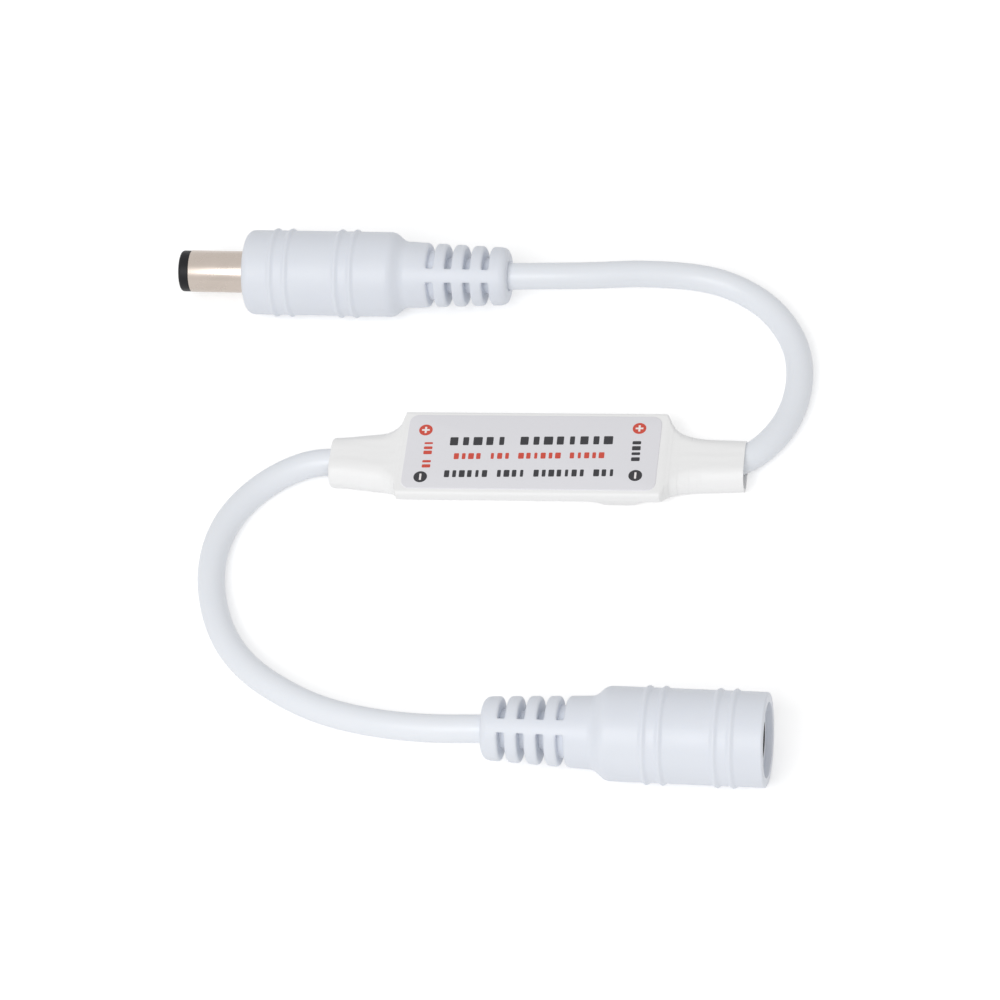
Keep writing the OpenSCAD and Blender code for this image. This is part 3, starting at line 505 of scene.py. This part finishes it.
NODE_FINISHES = {
    "circuit_board": solder_mask, "power_mosfet": epoxy, "microcontroller": epoxy,
    "radio_receiver": epoxy, "crystal": crystal_lid, "voltage_regulator": epoxy,
    "protection_diode": epoxy, "buffer_capacitor": can_film, "ceramic_capacitors": ceramic,
    "resistors": glaze, "antenna_coil": copper, "solder_joints": solder,
    "input_positive_lead": red_pvc, "input_negative_lead": black_pvc,
    "output_positive_lead": red_pvc, "output_negative_lead": black_pvc,
    "plug_inner_mould": nylon, "plug_positive_lead": red_pvc, "plug_negative_lead": black_pvc,
    "jack_sleeve_terminal": nickel, "jack_positive_lead": red_pvc,
    "jack_negative_lead": black_pvc,
}


def finish_nodes():
    """Gives each node that stays its finish."""
    for name, material in NODE_FINISHES.items():
        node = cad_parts[name]
        if not node.material_slots:
            node.data.materials.append(None)
        for place in node.material_slots:
            place.material = material


def stand(name, data, azimuth, elevation, distance, target=(0, 0, 0), roll=0):
    """Stands a camera or lamp back from its target along azimuth and elevation, facing the
    target, and rolls it about that line."""
    az, el, roll = np.radians([azimuth, elevation, roll])
    back = np.array([np.sin(az) * np.cos(el), -np.cos(az) * np.cos(el), np.sin(el)])
    level = np.array([np.cos(az), np.sin(az), 0])
    up = np.cross(back, level)
    right = np.cos(roll) * level + np.sin(roll) * up
    above = np.cos(roll) * up - np.sin(roll) * level
    place = (np.array(target) + distance * back) * MM
    matrix = np.eye(4)
    matrix[:3] = np.stack([right, above, back, place], 1)
    made = bpy.data.objects.new(name, data)
    made.matrix_world = matrix.T.tolist()
    bpy.context.scene.collection.objects.link(made)
    return made


def make_camera():
    """Camera at the place, angle and lens that fit the photograph."""
    data = bpy.data.cameras.new("camera")
    data.lens, data.sensor_width = CAMERA_LENS, CAMERA_SENSOR
    data.clip_start, data.clip_end = [clip * MM for clip in CAMERA_CLIP]
    bpy.context.scene.camera = stand(
        "camera", data, CAMERA_AZIMUTH, CAMERA_ELEVATION, CAMERA_DISTANCE, CAMERA_TARGET,
        CAMERA_ROLL)


def spline(route):
    """Cubic B-spline along the route, with each end run on straight to reach the end point."""
    p = np.array(route, float)
    p = np.vstack([2 * p[0] - p[1], p, 2 * p[-1] - p[-2]])
    t = np.linspace(0, 1, ROUTE_STEPS, endpoint=False)[:, None]
    weights = [(1 - t) ** 3, 3 * t ** 3 - 6 * t ** 2 + 4, 3 * (t + t ** 2 - t ** 3) + 1, t ** 3]
    runs = [sum(w * p[i + k] for k, w in enumerate(weights)) / 6 for i in range(len(p) - 3)]
    return np.vstack(runs + [p[-2:-1]])


def tube(path, radius):
    """Circle of that radius carried along a path that never stands upright, closed by poles."""
    heading = unit(np.gradient(path, axis=0))
    side = unit(np.cross(heading, [0, 0, 1]))
    top = np.cross(side, heading)
    a = full_turn(CABLE_COLUMNS)[None, :, None]
    rings = path[:, None] + radius * (np.cos(a) * side[:, None] + np.sin(a) * top[:, None])
    ends = [np.repeat(path[i][None, None], CABLE_COLUMNS, 1) for i in (0, -1)]
    return np.concatenate([ends[0], rings, ends[1]])


def cable(name, route, tail, turn):
    """Cable along its route and straight on into the connector whose tail is given, and the
    path of its middle."""
    a = np.radians(turn)
    inside = np.array(tail) + JACKET_IN * np.array([np.cos(a), np.sin(a), 0])
    path = spline(list(route) + [tail, inside])
    return piece(name, [tube(path, CABLE_R)], cable_pvc, replaces=[name]), path


def relief_samples():
    """Points along the slotted relief, from tail edge to shoulder: distance, share of the
    way down a slot, core radius of that slot, and drop of the segment's edge, which is a
    quarter circle. On a segment the points crowd towards its ends as a cosine does."""
    rows = []
    start = TAIL_ROUND
    for k in range(SLOT_COUNT + 1):
        low = SLOT_FIRST + k * SLOT_PITCH - SLOT_W / 2
        end = low if k < SLOT_COUNT else RELIEF_L
        middle, half = (start + end) / 2, (end - start) / 2
        s = middle - half * np.cos(np.linspace(0, np.pi, SEGMENT_POINTS))
        before = s - start if k > 0 else np.full_like(s, EDGE_ROUND)
        after = end - s if k < SLOT_COUNT else np.full_like(s, EDGE_ROUND)
        reach = np.clip(EDGE_ROUND - np.minimum(before, after), 0, EDGE_ROUND)
        drop = EDGE_ROUND - np.sqrt(EDGE_ROUND ** 2 - reach ** 2)
        rows += [(x, 0, SLOT_CORE_R, d) for x, d in zip(s, drop)]
        if k < SLOT_COUNT:
            core = LAST_CORE_R if k == SLOT_COUNT - 1 else SLOT_CORE_R
            walls = [(low, u) for u in WALL_SHARES] + [(low + SLOT_W / 2, 1)]
            walls += [(low + SLOT_W, u) for u in WALL_SHARES[::-1]]
            rows += [(x, u, core, EDGE_ROUND) for x, u in walls]
            start = low + SLOT_W
    return np.array(rows)


def relief_columns(radius):
    """Angles round the relief and, for each, the share of a slot's depth, the drop of a
    quarter circle over the slot's lip, and the share of the segments' rounded edges, which
    comes in by a smooth step. A rib runs at 0 and at 180, and each quarter mirrors the last."""
    rib = np.degrees(RIB_W / 2 / radius)
    lip = np.degrees(LIP_ROUND / radius)
    whole = np.concatenate([np.linspace(0, rib, RIB_POINTS), rib + lip * np.array(LIP_SHARES)])
    slotted = np.concatenate([
        rib + lip + np.array(PAST_LIP), np.linspace(rib + lip + PLAIN_FROM, 90, PLAIN_POINTS)])
    quarter = np.concatenate([whole, slotted])
    deep = np.concatenate([np.zeros(len(whole)), np.ones(len(slotted))])
    past = np.clip((quarter - rib) / lip, 0, 1)
    lip_drop = LIP_ROUND * (1 - np.sqrt(1 - past ** 2))
    edge = smooth((quarter - rib) * np.radians(radius) / EDGE_FADE)
    half = [np.concatenate([v, v[-2::-1]]) for v in (deep, lip_drop, edge)]
    angles = np.concatenate([quarter, 180 - quarter[-2::-1]])
    angles = np.concatenate([angles, 360 - angles[-2:0:-1]])
    return [angles] + [np.concatenate([v, v[-2:0:-1]]) for v in half]


def relief(tail_r, root_r):
    """Grid of the slotted relief: the taper, less the rounded edges, and down to the core
    in the slots. On the ribs both cuts fade out."""
    s, down, core, drop = relief_samples().T[:, :, None]
    angles, deep, lip_drop, edge = relief_columns((tail_r + root_r) / 2)
    taper = tail_r + (root_r - tail_r) * s / RELIEF_L
    top = taper - edge * drop - lip_drop * (down > 0)
    r = top - deep * down * (top - core)
    a = np.radians(angles)
    return np.stack([r * np.cos(a), r * np.sin(a), np.broadcast_to(s, r.shape)], -1), a


def grip_profile(r, root_r, front):
    """Shoulder and grip from the relief to distance front. The shoulder is a cone that a
    sine wave eases at both ends, and each raised ring is a full cosine wave."""
    t = np.linspace(0, 1, SHOULDER_STEPS + 1)[1:]
    s = RELIEF_L + SHOULDER_L * t
    shoulder = root_r + (r - root_r) * (t - SHOULDER_EASE * np.sin(2 * np.pi * t) / (2 * np.pi))
    beads = [
        GRIP_AT + share * (MOULD_L - GRIP_AT) + side * BEAD_PITCH / 2
        for share in BEAD_SHARES for side in (-1, 1)]
    along = [np.linspace(b - BEAD_W / 2, b + BEAD_W / 2, BEAD_POINTS) for b in beads]
    along = np.unique(np.concatenate(along + [[GRIP_AT + GRIP_START, front]]))
    height = sum(
        (1 + np.cos(2 * np.pi * np.clip((along - b) / BEAD_W, -0.5, 0.5))) / 2 for b in beads)
    grip = r + BEAD_H * height
    return list(zip(shoulder, s)) + list(zip(grip, along))


def tail_profile(tail_r):
    """Bore's lip, the flat of the tail and its rounded edge."""
    lip = arc(CABLE_R + FIT + BORE_ROUND, BORE_ROUND, BORE_ROUND, 180, 270, 6)
    return lip + arc(tail_r - TAIL_ROUND, TAIL_ROUND, TAIL_ROUND, -90, 0, 10)[:-1]


def front_profile(r, edge, hole, steps):
    """Rounded outer edge of a moulding's front, and the rounded rim of the hole in it."""
    rim = arc(hole + RIM_ROUND, MOULD_L - RIM_ROUND, RIM_ROUND, 90, 180, 4)
    return arc(r - edge, MOULD_L - edge, edge, 0, 90, steps) + rim


def moulding(r, relief_r, front, cavity):
    """Closed moulding: tail, slotted relief, shoulder and grip, then its front, the cavity
    behind that and the cable's bore."""
    cut, a = relief(*relief_r)
    tail = swept_profile(tail_profile(relief_r[0]), a)
    bore = [(CABLE_R + FIT, GRIP_AT), (CABLE_R + FIT, 2 * BORE_ROUND)]
    rest = grip_profile(r, relief_r[1], front[0][1])[:-1] + front + cavity + bore
    return np.concatenate([tail, cut, swept_profile(rest, a)])


def plug_overmould():
    """Plug's moulding: its front rounds over to a flat face round the barrel."""
    front = front_profile(PLUG_R, PLUG_ROUND, BARREL_R, 12)
    hole, wide = BARREL_ROOT_R + FIT, INNER_MOULD_R + FIT
    end = GRIP_AT + INNER_MOULD_L + FIT
    cavity = [(hole, MOULD_L - PLUG_LIP_L), (hole, end), (wide, end), (wide, GRIP_AT)]
    grid = moulding(PLUG_R, PLUG_RELIEF_R, front, cavity)
    return piece("plug_overmould_skin", [at_plug(grid)], moulded_pvc, loop=True,
                 replaces=["plug_overmould"])


def jack_overmould():
    """Jack's moulding: its front is a thin collar round the mouth."""
    front = front_profile(JACK_R, JACK_ROUND, COLLAR_R, 8)
    back = MOULD_L - INSERT_SETBACK - INSERT_L - FIT
    cavity = [(COLLAR_R, back), (JACK_CAVITY_R, back), (JACK_CAVITY_R, GRIP_AT)]
    grid = moulding(JACK_R, JACK_RELIEF_R, front, cavity)
    return piece("jack_overmould_skin", [at_jack(grid)], moulded_pvc, loop=True,
                 replaces=["jack_overmould"])


def plug_barrel():
    """Turned barrel: a tube with a broken front edge, drawn in where the moulding grips it."""
    front = MOULD_L + BARREL_L - TIP_L
    root, edge = MOULD_L - BARREL_ROOT_L, BARREL_EDGE_R
    profile = [(BARREL_ROOT_R, root), (BARREL_ROOT_R, MOULD_L - BARREL_STEP_L)]
    profile += [(BARREL_R, MOULD_L)] + arc(BARREL_R - edge, front - edge, edge, 0, 90, 4)
    profile += [(BARREL_BORE_R, front), (BARREL_BORE_R, root)]
    grid = at_plug(lathe(profile, BARREL_COLUMNS))
    return piece("plug_barrel_skin", [grid], nickel, loop=True,
                 replaces=["plug_barrel"])


def plug_tip():
    """Insulating tube with the rounded black tip that faces the barrel."""
    front = MOULD_L + BARREL_L
    back, seat = front - TIP_L + TIP_GAP, front - CONTACT_SETBACK + FIT
    r, edge, rim = BARREL_R - TIP_STEP, TIP_ROUND, TIP_HOLE_ROUND
    profile = [(CONTACT_R + FIT, INSULATOR_AT), (BARREL_BORE_R - FIT, INSULATOR_AT)]
    profile += [(BARREL_BORE_R - FIT, back), (r - TIP_BEVEL, back), (r, back + TIP_BEVEL)]
    profile += arc(r - edge, front - edge, edge, 0, 90, 10)
    profile += arc(TIP_HOLE_R + rim, front - rim, rim, 90, 180, 5)
    profile += [(TIP_HOLE_R, seat), (CONTACT_R + FIT, seat)]
    grid = at_plug(lathe(profile, BARREL_COLUMNS))
    return piece("plug_tip", [grid], black_acetal, loop=True,
                 replaces=["plug_insulator"])


def plug_contact():
    """Centre contact: a tube with a rounded mouth on a thin solid shank."""
    mouth = MOULD_L + BARREL_L - CONTACT_SETBACK
    floor = mouth - CONTACT_DEPTH
    wall = (CONTACT_R - CONTACT_BORE_R) / 2
    profile = [(0, CONTACT_TAIL_AT), (CONTACT_SHANK_R, CONTACT_TAIL_AT)]
    profile += [(CONTACT_SHANK_R, floor - CONTACT_BACK_L), (CONTACT_R, floor - CONTACT_BACK_L)]
    profile += arc(CONTACT_R - wall, mouth - wall, wall, 0, 180, 8)
    profile += [(CONTACT_BORE_R, floor), (0, floor)]
    return piece("plug_contact", [at_plug(lathe(profile, PIN_COLUMNS))], bronze,
                 replaces=["plug_centre_contact"])


def paint_socket_shade(mesh, floor, front):
    """Gives painted shade, a near black finish, to faces whose middle lies ahead of the socket's
    floor and within its walls, or at the mouth within the rounded edge that leads in."""
    tail, ahead = at_jack(np.array([[0, 0, 0], [0, 0, 1]]))
    middle = np.empty(3 * len(mesh.polygons))
    mesh.polygons.foreach_get("center", middle)
    middle = middle.reshape(-1, 3) / MM - tail
    s = middle @ (ahead - tail)
    off_axis = np.linalg.norm(middle - s[:, None] * (ahead - tail), axis=1)
    reach = np.where(
        s < front - SOCKET_LEAD_IN, COLLAR_R - SHADE_INSET, SOCKET_R + SOCKET_LEAD_IN)
    dark = (s > floor - FIT) & (off_axis < reach)
    mesh.materials.append(painted_socket_shade)
    mesh.polygons.foreach_set("material_index", dark.astype(int))


def jack_insert():
    """Hard insert with the socket in its face. The side towards local -Y opens into the
    leaf's pocket, so there the socket's wall stands back."""
    front = MOULD_L - INSERT_SETBACK
    back, floor = front - INSERT_L, front - SOCKET_DEPTH
    r, edge, lead_in = COLLAR_R - FIT, INSERT_EDGE_R, SOCKET_LEAD_IN
    outer = [(0, back), (r, back)] + arc(r - edge, front - edge, edge, 0, 90, 3)
    outer += arc(SOCKET_R + lead_in, front - lead_in, lead_in, 90, 180, 6)
    pocket_end = LEAF_PIVOT_S + LEAF_L + LEAF_ROOM
    wall = [pocket_end + POCKET_STEP_L, pocket_end, pocket_end, floor]
    plain = [(SOCKET_R, s) for s in wall] + [(0, floor)]
    pocket = plain[:2] + [(POCKET_R, s) for s in wall[2:]] + plain[4:]
    half = np.degrees(POCKET_W / 2 / SOCKET_R)
    a = np.radians(np.concatenate([
        np.linspace(-90 - half, -90 + half, POCKET_COLUMNS),
        np.linspace(-90 + half, 270 - half, SOCKET_COLUMNS)]))
    inside = (np.arange(len(a)) < POCKET_COLUMNS)[None, :, None]
    walls = np.where(inside, swept_profile(pocket, a), swept_profile(plain, a))
    grid = np.concatenate([swept_profile(outer, a), walls])
    made = piece("jack_insert_skin", [at_jack(grid)], insert_abs,
                 replaces=["jack_insert"])
    # The socket's wall and lead-in get painted shade, near black
    paint_socket_shade(made.data, floor, front)
    return made


def jack_pin():
    """Centre pin with a rounded end, on a thinner shank through the insert."""
    front = MOULD_L - INSERT_SETBACK
    end, floor = front - PIN_SETBACK, front - SOCKET_DEPTH + FIT
    back = front - INSERT_L - SHANK_L
    profile = [(0, back), (SHANK_R, back), (SHANK_R, floor), (PIN_R, floor)]
    profile += arc(PIN_R - PIN_ROUND, end - PIN_ROUND, PIN_ROUND, 0, 90, 8) + [(0, end)]
    return piece("jack_pin", [at_jack(lathe(profile, PIN_COLUMNS))], nickel,
                 replaces=["jack_centre_pin"])


def contact_leaf():
    """Leaf spring: a strip carried round its rolled root and along its bend to a free end
    that turns back. The bend is half a cosine wave up to the crest, and a smooth blend from
    there part of the way down."""
    mid = CURL_R - LEAF_T / 2
    a = np.radians(np.linspace(-90, -330, CURL_POINTS))
    curl = np.stack([-mid * np.sin(a), mid * np.cos(a)], 1)
    x = np.linspace(mid, LEAF_L, LEAF_POINTS)
    up = LEAF_RISE * (1 - np.cos(np.pi * np.clip(x / LEAF_CREST, 0, 1))) / 2
    fall = smooth((x - LEAF_CREST) / (LEAF_L - LEAF_CREST + LEAF_FALL_EASE))
    strip = np.stack([x, up - LEAF_FALL_SHARE * LEAF_RISE * fall], 1)
    line = np.concatenate([curl[::-1], strip])
    heading = unit(np.gradient(line, axis=0))
    normal = np.stack([-heading[:, 1], heading[:, 0]], 1) * LEAF_T / 2
    sides = [(line + normal, -1), (line + normal, 1), (line - normal, 1), (line - normal, -1)]
    grid = np.stack([np.stack([
        np.full(len(line), side * LEAF_W / 2), LEAF_ROOT_Y + edge[:, 1],
        LEAF_PIVOT_S + edge[:, 0]], 1) for edge, side in sides], 1)
    ends = [np.repeat(grid[i].mean(0)[None, None], 4, 1) for i in (0, -1)]
    grid = np.concatenate([ends[0], grid, ends[1]])
    return piece("contact_leaf", [at_jack(grid)], bronze, body="contact_spring",
                 replaces=["jack_contact_spring"])


def section(circles, a):
    """Outline that a stretched film takes round circles of (y, z, radius): in each normal
    direction it lies on the circle that reaches furthest."""
    y, z, r = np.array(circles, float).T[:, :, None]
    reach = y * np.cos(a) + z * np.sin(a) + r
    best = np.argmax(reach, 0)
    y, z, r = y[best, 0], z[best, 0], r[best, 0]
    return np.stack([y + r * np.cos(a), z + r * np.sin(a)], -1)


def respaced(outline, count):
    """The closed outline again, with count points spaced evenly along it."""
    closed = np.vstack([outline, outline[:1]])
    run = np.concatenate([[0], np.cumsum(np.linalg.norm(np.diff(closed, axis=0), axis=1))])
    at = np.linspace(0, run[-1], count, endpoint=False)
    return np.stack([np.interp(at, run, closed[:, k]) for k in (0, 1)], -1)


def node_box(name):
    """Lowest and highest corner of a node, in millimetres."""
    return [np.array(corner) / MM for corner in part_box(name)]


def film_stations():
    """Places along the film that get an outline: even ones, finer ones over both slopes, and
    ones that crowd towards each mouth as the square of an even step."""
    board = node_box("circuit_board")
    curl, rim = [np.linspace(0, 1, count) ** 2 for count in (CURL_STATIONS, RIM_STATIONS)]
    return np.unique(np.concatenate([
        np.linspace(-MOUTH_X, MOUTH_X, FILM_STATIONS), MOUTH_X - MOUTH_RIM_L * rim,
        MOUTH_CURL_L * curl - MOUTH_X, board[0][0] + np.linspace(*INPUT_FINE),
        board[1][0] + np.linspace(*OUTPUT_FINE)]))


def film_outlines(x):
    """Outline of the film at each station x: a blend from the neck's outline to the board's
    by normal direction. The blend follows the slope tables beyond the board's ends, and
    takes in the antenna coil on the -Y side by a smooth step. The necks widen in a straight
    line towards the slopes."""
    board, coil = node_box("circuit_board"), node_box("antenna_coil")
    top, under, side = board[1][2], board[0][2], board[1][1]
    transistor, diode = node_box("power_mosfet"), node_box("protection_diode")
    coil_z, coil_y = under - FIT - COIL_R, (coil[0][1] + coil[1][1]) / 2
    box = [
        (side, top, HUG), (side, under, HUG), (transistor[1][1], transistor[0][2], HUG),
        (-diode[0][1], diode[0][2], HUG), (BASE_W / 2, HUG, HUG)]
    a = np.radians(np.arange(-90, 91, 2))
    plain = section(box, a)
    bumped = section(box + [(-coil_y, coil_z, COIL_R + HUG)], a)
    before = (board[0][0] - HUG - x) / INPUT_SLOPE_L
    after = (x - board[1][0] - HUG) / OUTPUT_SLOPE_L
    share = np.minimum(np.interp(before, *zip(*INPUT_SLOPE)), np.interp(after, *zip(*OUTPUT_SLOPE)))
    off_slope = np.maximum(
        board[0][0] - INPUT_SLOPE_L - HUG - x, x - board[1][0] - OUTPUT_SLOPE_L - HUG)
    widest = np.where(x < 0, INPUT_NECK_FLARE, OUTPUT_NECK_FLARE)
    flare = widest * (1 - np.clip(off_slope / NECK_FLARE_L, 0, 1))
    off_coil = np.maximum(coil[0][0] - x, x - coil[1][0])
    bump = smooth(1 - off_coil / COIL_SLOPE_L)
    outlines = []
    for s, f, b in zip(share, flare, bump):
        neck_y = (NECK_W + f) / 2 - NECK_R
        neck = np.stack([neck_y + NECK_R * np.cos(a), NECK_R + NECK_R * np.sin(a)], -1)
        right = neck + s * (plain - neck)
        left = neck + s * (plain + b * (bumped - plain) - neck)
        outlines.append(respaced(np.vstack([right, left[::-1] * [-1, 1]]), FILM_COLUMNS))
    return np.array(outlines), share


def under_dips(x, y, z, share):
    """How far the film draws in under the board: full between the parts, and by smooth steps
    none beneath a part, up the film's sides, and where a slope is less than half way up."""
    held = np.zeros_like(y)
    for name in ("power_mosfet", "buffer_capacitor", "microcontroller", "protection_diode",
                 "voltage_regulator", "antenna_coil", "radio_receiver"):
        low, high = node_box(name)
        off = np.maximum(np.maximum(low[0] - x, x - high[0]), np.maximum(low[1] - y, y - high[1]))
        held = np.maximum(held, smooth(1 - off / DIP_REACH))
    under = smooth((DIP_TOP - z) / DIP_FADE)
    return DIP_DEPTH * (1 - held) * under * smooth(share * 2 - 1)


def wrinkles(x):
    """Wrinkles from 0 at a crest to 1 in a furrow: three waves round the outline that drift
    along the film, added up, taken from their highest sum and scaled by its double."""
    turn, x = full_turn(FILM_COLUMNS)[None], x[:, None]
    waves = (np.sin(7 * turn + 0.35 * x) + np.sin(11 * turn + 1.3 - 0.2 * x)
             + 0.7 * np.sin(17 * turn + 0.8 * np.sin(x)))
    highest = 1 + 1 + 0.7
    return (highest - waves) / (2 * highest)


def sleeve():
    """Shrunk film: an outer and an inner skin, which meet in a rim at both mouths. The skin
    is eased along the film by a weighted mean of five stations. It is then pressed in by the
    wrinkles, which fade over the board and end above the flat base, by the dips under the
    board, and at the input's mouth by a quarter ellipse."""
    x = film_stations()
    outline, share = film_outlines(x)
    weights = np.array([1, 2, 3, 2, 1]) / 9
    padded = np.pad(outline, ((2, 2), (0, 0), (0, 0)), mode="edge")
    eased = sum(w * padded[i:i + len(x)] for i, w in enumerate(weights))
    outline = np.where(np.abs(x)[:, None, None] < MOUTH_X - MOUTH_PLAIN_L, eased, outline)
    heading = unit(np.roll(outline, -1, 1) - np.roll(outline, 1, 1))
    normal = np.stack([heading[..., 1], -heading[..., 0]], -1)
    grid_x = np.broadcast_to(x[:, None], outline.shape[:2])
    y, z = outline[..., 0], outline[..., 1]
    necks = 1 - smooth(share * WRINKLE_FADE)[:, None]
    to_mouth = np.clip(1 - (x + MOUTH_X) / MOUTH_CURL_L, 0, 1)[:, None]
    press = WRINKLE_H * wrinkles(x) * necks * (z > BASE_H)
    press = press + under_dips(grid_x, y, z, share[:, None])
    press = press + MOUTH_CURL_H * (1 - np.sqrt(1 - to_mouth ** 2))
    outer = outline - normal * press[..., None]
    inner = outer - normal * FILM_T
    skins = [np.concatenate([grid_x[..., None], skin], -1) for skin in (outer, inner)]
    output_rim, input_rim = [(skins[0][i] + skins[1][i])[None] / 2 for i in (-1, 0)]
    grid = np.concatenate([skins[0], output_rim, skins[1][::-1], input_rim])
    return piece("sleeve_film", [grid], shrunk_film, loop=True,
                 replaces=["heat_shrink_sleeve"])


def rounded_box(centre, length, width, r, steps):
    """Outline of a rectangle with round corners, anticlockwise."""
    corners = [(1, 1, 0), (-1, 1, 90), (-1, -1, 180), (1, -1, 270)]
    points = []
    for x, y, start in corners:
        points += arc(centre[0] + x * (length / 2 - r), centre[1] + y * (width / 2 - r), r,
                      start, start + 90, steps)
    return np.array(points)


def plate(outlines, heights):
    """Grid of a plate: one outline at each height, closed by a pole at either end."""
    rings = [np.column_stack([o, np.full(len(o), z)]) for o, z in zip(outlines, heights)]
    poles = [np.repeat(rings[i].mean(0)[None], len(rings[0]), 0) for i in (0, -1)]
    return np.array([poles[0]] + rings + [poles[1]])


def label():
    """Label: a thin plate whose upper edge rounds over by a small quarter circle."""
    low, high = node_box("label")
    centre, length, width = (low + high)[:2] / 2, *(high - low)[:2]
    a = np.radians(np.linspace(0, 90, LABEL_EDGE_POINTS))
    insets = np.concatenate([[0], LABEL_EDGE_R * (1 - np.cos(a))])
    heights = np.concatenate([[low[2]], high[2] - LABEL_EDGE_R * (1 - np.sin(a))])
    outlines = [rounded_box(centre, length - 2 * i, width - 2 * i, LABEL_CORNER_R - i, 10)
                for i in insets]
    return piece("label_plate", [plate(outlines, heights)], label_vinyl,
                 replaces=["label"])


def printed(outline, layers=1):
    """Ink in that outline, placed and turned as the print on the label is."""
    top = node_box("label")[1][2]
    t = np.radians(PRINT_TURN)
    turned = np.column_stack([
        outline[:, 0] * np.cos(t) - outline[:, 1] * np.sin(t),
        outline[:, 0] * np.sin(t) + outline[:, 1] * np.cos(t)]) + PRINT_CENTRE
    return plate([turned, turned], [top - INK_SINK, top + layers * INK_H])


def blanks(start, end, across, height, runs, upright):
    """Row of plain blocks from start to end, in runs with a wider gap between them. Blocks
    take the widths of a short cycle in turn."""
    cells = sum(runs) + RUN_GAP * (len(runs) - 1)
    pitch = (end - start) / cells
    grids, at, number = [], start, 0
    for run in runs:
        for _ in range(run):
            wide = BLOCK_SHARE * pitch * BLOCK_CYCLE[number % len(BLOCK_CYCLE)]
            middle = at + pitch / 2
            centre = (across, middle) if upright else (middle, across)
            sides = (height, wide) if upright else (wide, height)
            grids.append(printed(rounded_box(centre, *sides, BLOCK_CORNER_R, 3)))
            at, number = at + pitch, number + 1
        at += RUN_GAP * pitch
    return grids


def disc(x, y):
    """Filled round mark."""
    return printed(np.array(arc(x, y, MARK_R, 0, 360, 48)[:-1]))


def minus(x, y):
    """Upright bar on top of its round mark, as the print beside it runs downwards."""
    return printed(rounded_box((x, y), SIGN_W, SIGN_L, SIGN_CORNER_R, 2), layers=2)


def plus(x, y):
    """Cross on top of its round mark: an arm's outline at each quarter turn."""
    half, reach = SIGN_W / 2, SIGN_L / 2
    arm = np.array([(half, half), (half, reach), (-half, reach)])
    turns = np.radians([0, 90, 180, 270])
    outline = np.vstack([
        arm @ [[np.cos(t), np.sin(t)], [-np.sin(t), np.cos(t)]] for t in turns])
    return printed(outline + [x, y], layers=2)


def label_print():
    """Plain blocks where a maker would print words, and plus and minus marks at the ends."""
    x, y = MARK_SPREAD
    red, black = [
        [block for row in rows for block in blanks(*row)] + [disc(-x, height), disc(x, height)]
        for rows, height in ((RED_ROWS, y), (BLACK_ROWS, -y))]
    white = [made(side * x, height) for side in (-1, 1)
             for made, height in ((plus, y), (minus, -y))]
    for name, grids, ink in (("print_red", red, red_ink), ("print_black", black, black_ink),
                             ("print_white", white, white_ink)):
        piece(name, grids, ink)


def white_where_seen(tree, shader, white):
    """Mixes white light in for camera, glossy and transmission rays only."""
    path = add(tree, "ShaderNodeLightPath")
    seen = add(tree, "ShaderNodeMath", {
        0: path.outputs["Is Camera Ray"], 1: path.outputs["Is Glossy Ray"]}, operation="MAXIMUM")
    seen = add(tree, "ShaderNodeMath", {
        0: seen.outputs[0], 1: path.outputs["Is Transmission Ray"]}, operation="MAXIMUM")
    return add(tree, "ShaderNodeMixShader", {0: seen.outputs[0], 1: shader, 2: white}).outputs[0]


def make_floor():
    """Pale floor. To the camera it glows a little under its own shading, which takes it to
    white and leaves the shadow."""
    half, z = FLOOR_HALF * MM, -FLOOR_DROP * MM
    mesh = bpy.data.meshes.new("floor")
    mesh.from_pydata([
        (-half, -half, z), (half, -half, z), (half, half, z), (-half, half, z)],
        [], [(0, 1, 2, 3)])
    floor = bpy.data.objects.new("floor", mesh)
    bpy.context.scene.collection.objects.link(floor)
    paint = bpy.data.materials.new("pale_floor")
    paint.use_nodes = True
    tree = paint.node_tree
    tree.nodes.clear()
    matt = add(tree, "ShaderNodeBsdfDiffuse", {"Color": hex_colour("f4f4f4")}).outputs[0]
    glow = add(tree, "ShaderNodeEmission", {"Strength": FLOOR_GLOW}).outputs[0]
    lifted = add(tree, "ShaderNodeAddShader", {0: matt, 1: glow}).outputs[0]
    add(tree, "ShaderNodeOutputMaterial", {"Surface": white_where_seen(tree, matt, lifted)})
    mesh.materials.append(paint)


def make_light():
    """Even pale surroundings, with a soft square lamp in front and to the left."""
    world = bpy.data.worlds.new("studio")
    world.use_nodes = True
    tree = world.node_tree
    tree.nodes.clear()
    around = add(tree, "ShaderNodeBackground", {"Strength": WORLD_GLOW}).outputs[0]
    white = add(tree, "ShaderNodeBackground", {
        "Color": hex_colour("ffffff"), "Strength": 1.0}).outputs[0]
    add(tree, "ShaderNodeOutputWorld", {"Surface": white_where_seen(tree, around, white)})
    bpy.context.scene.world = world
    key = bpy.data.lights.new("key_lamp", "AREA")
    key.size, key.energy = KEY_SIDE * MM, KEY_POWER
    stand("key_lamp", key, KEY_AZIMUTH, KEY_ELEVATION, KEY_DISTANCE)


bpy.context.scene.view_settings.view_transform = "Standard"
make_camera()

plug_cable, plug_path = cable("plug_cable", PLUG_ROUTE, PLUG_TAIL, PLUG_TURN)
jack_cable, jack_path = cable("jack_cable", JACK_ROUTE, JACK_TAIL, JACK_TURN)
plug_pieces = [plug_overmould(), plug_barrel(), plug_tip(), plug_contact()]
jack_pieces = [jack_overmould(), jack_insert(), jack_pin(), contact_leaf()]
plug_pieces += [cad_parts[n] for n in (
    "plug_inner_mould", "plug_positive_lead", "plug_negative_lead")]
jack_pieces += [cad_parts[n] for n in (
    "jack_sleeve_terminal", "jack_positive_lead", "jack_negative_lead")]

sleeve()
label()
label_print()
finish_nodes()
make_floor()
make_light()
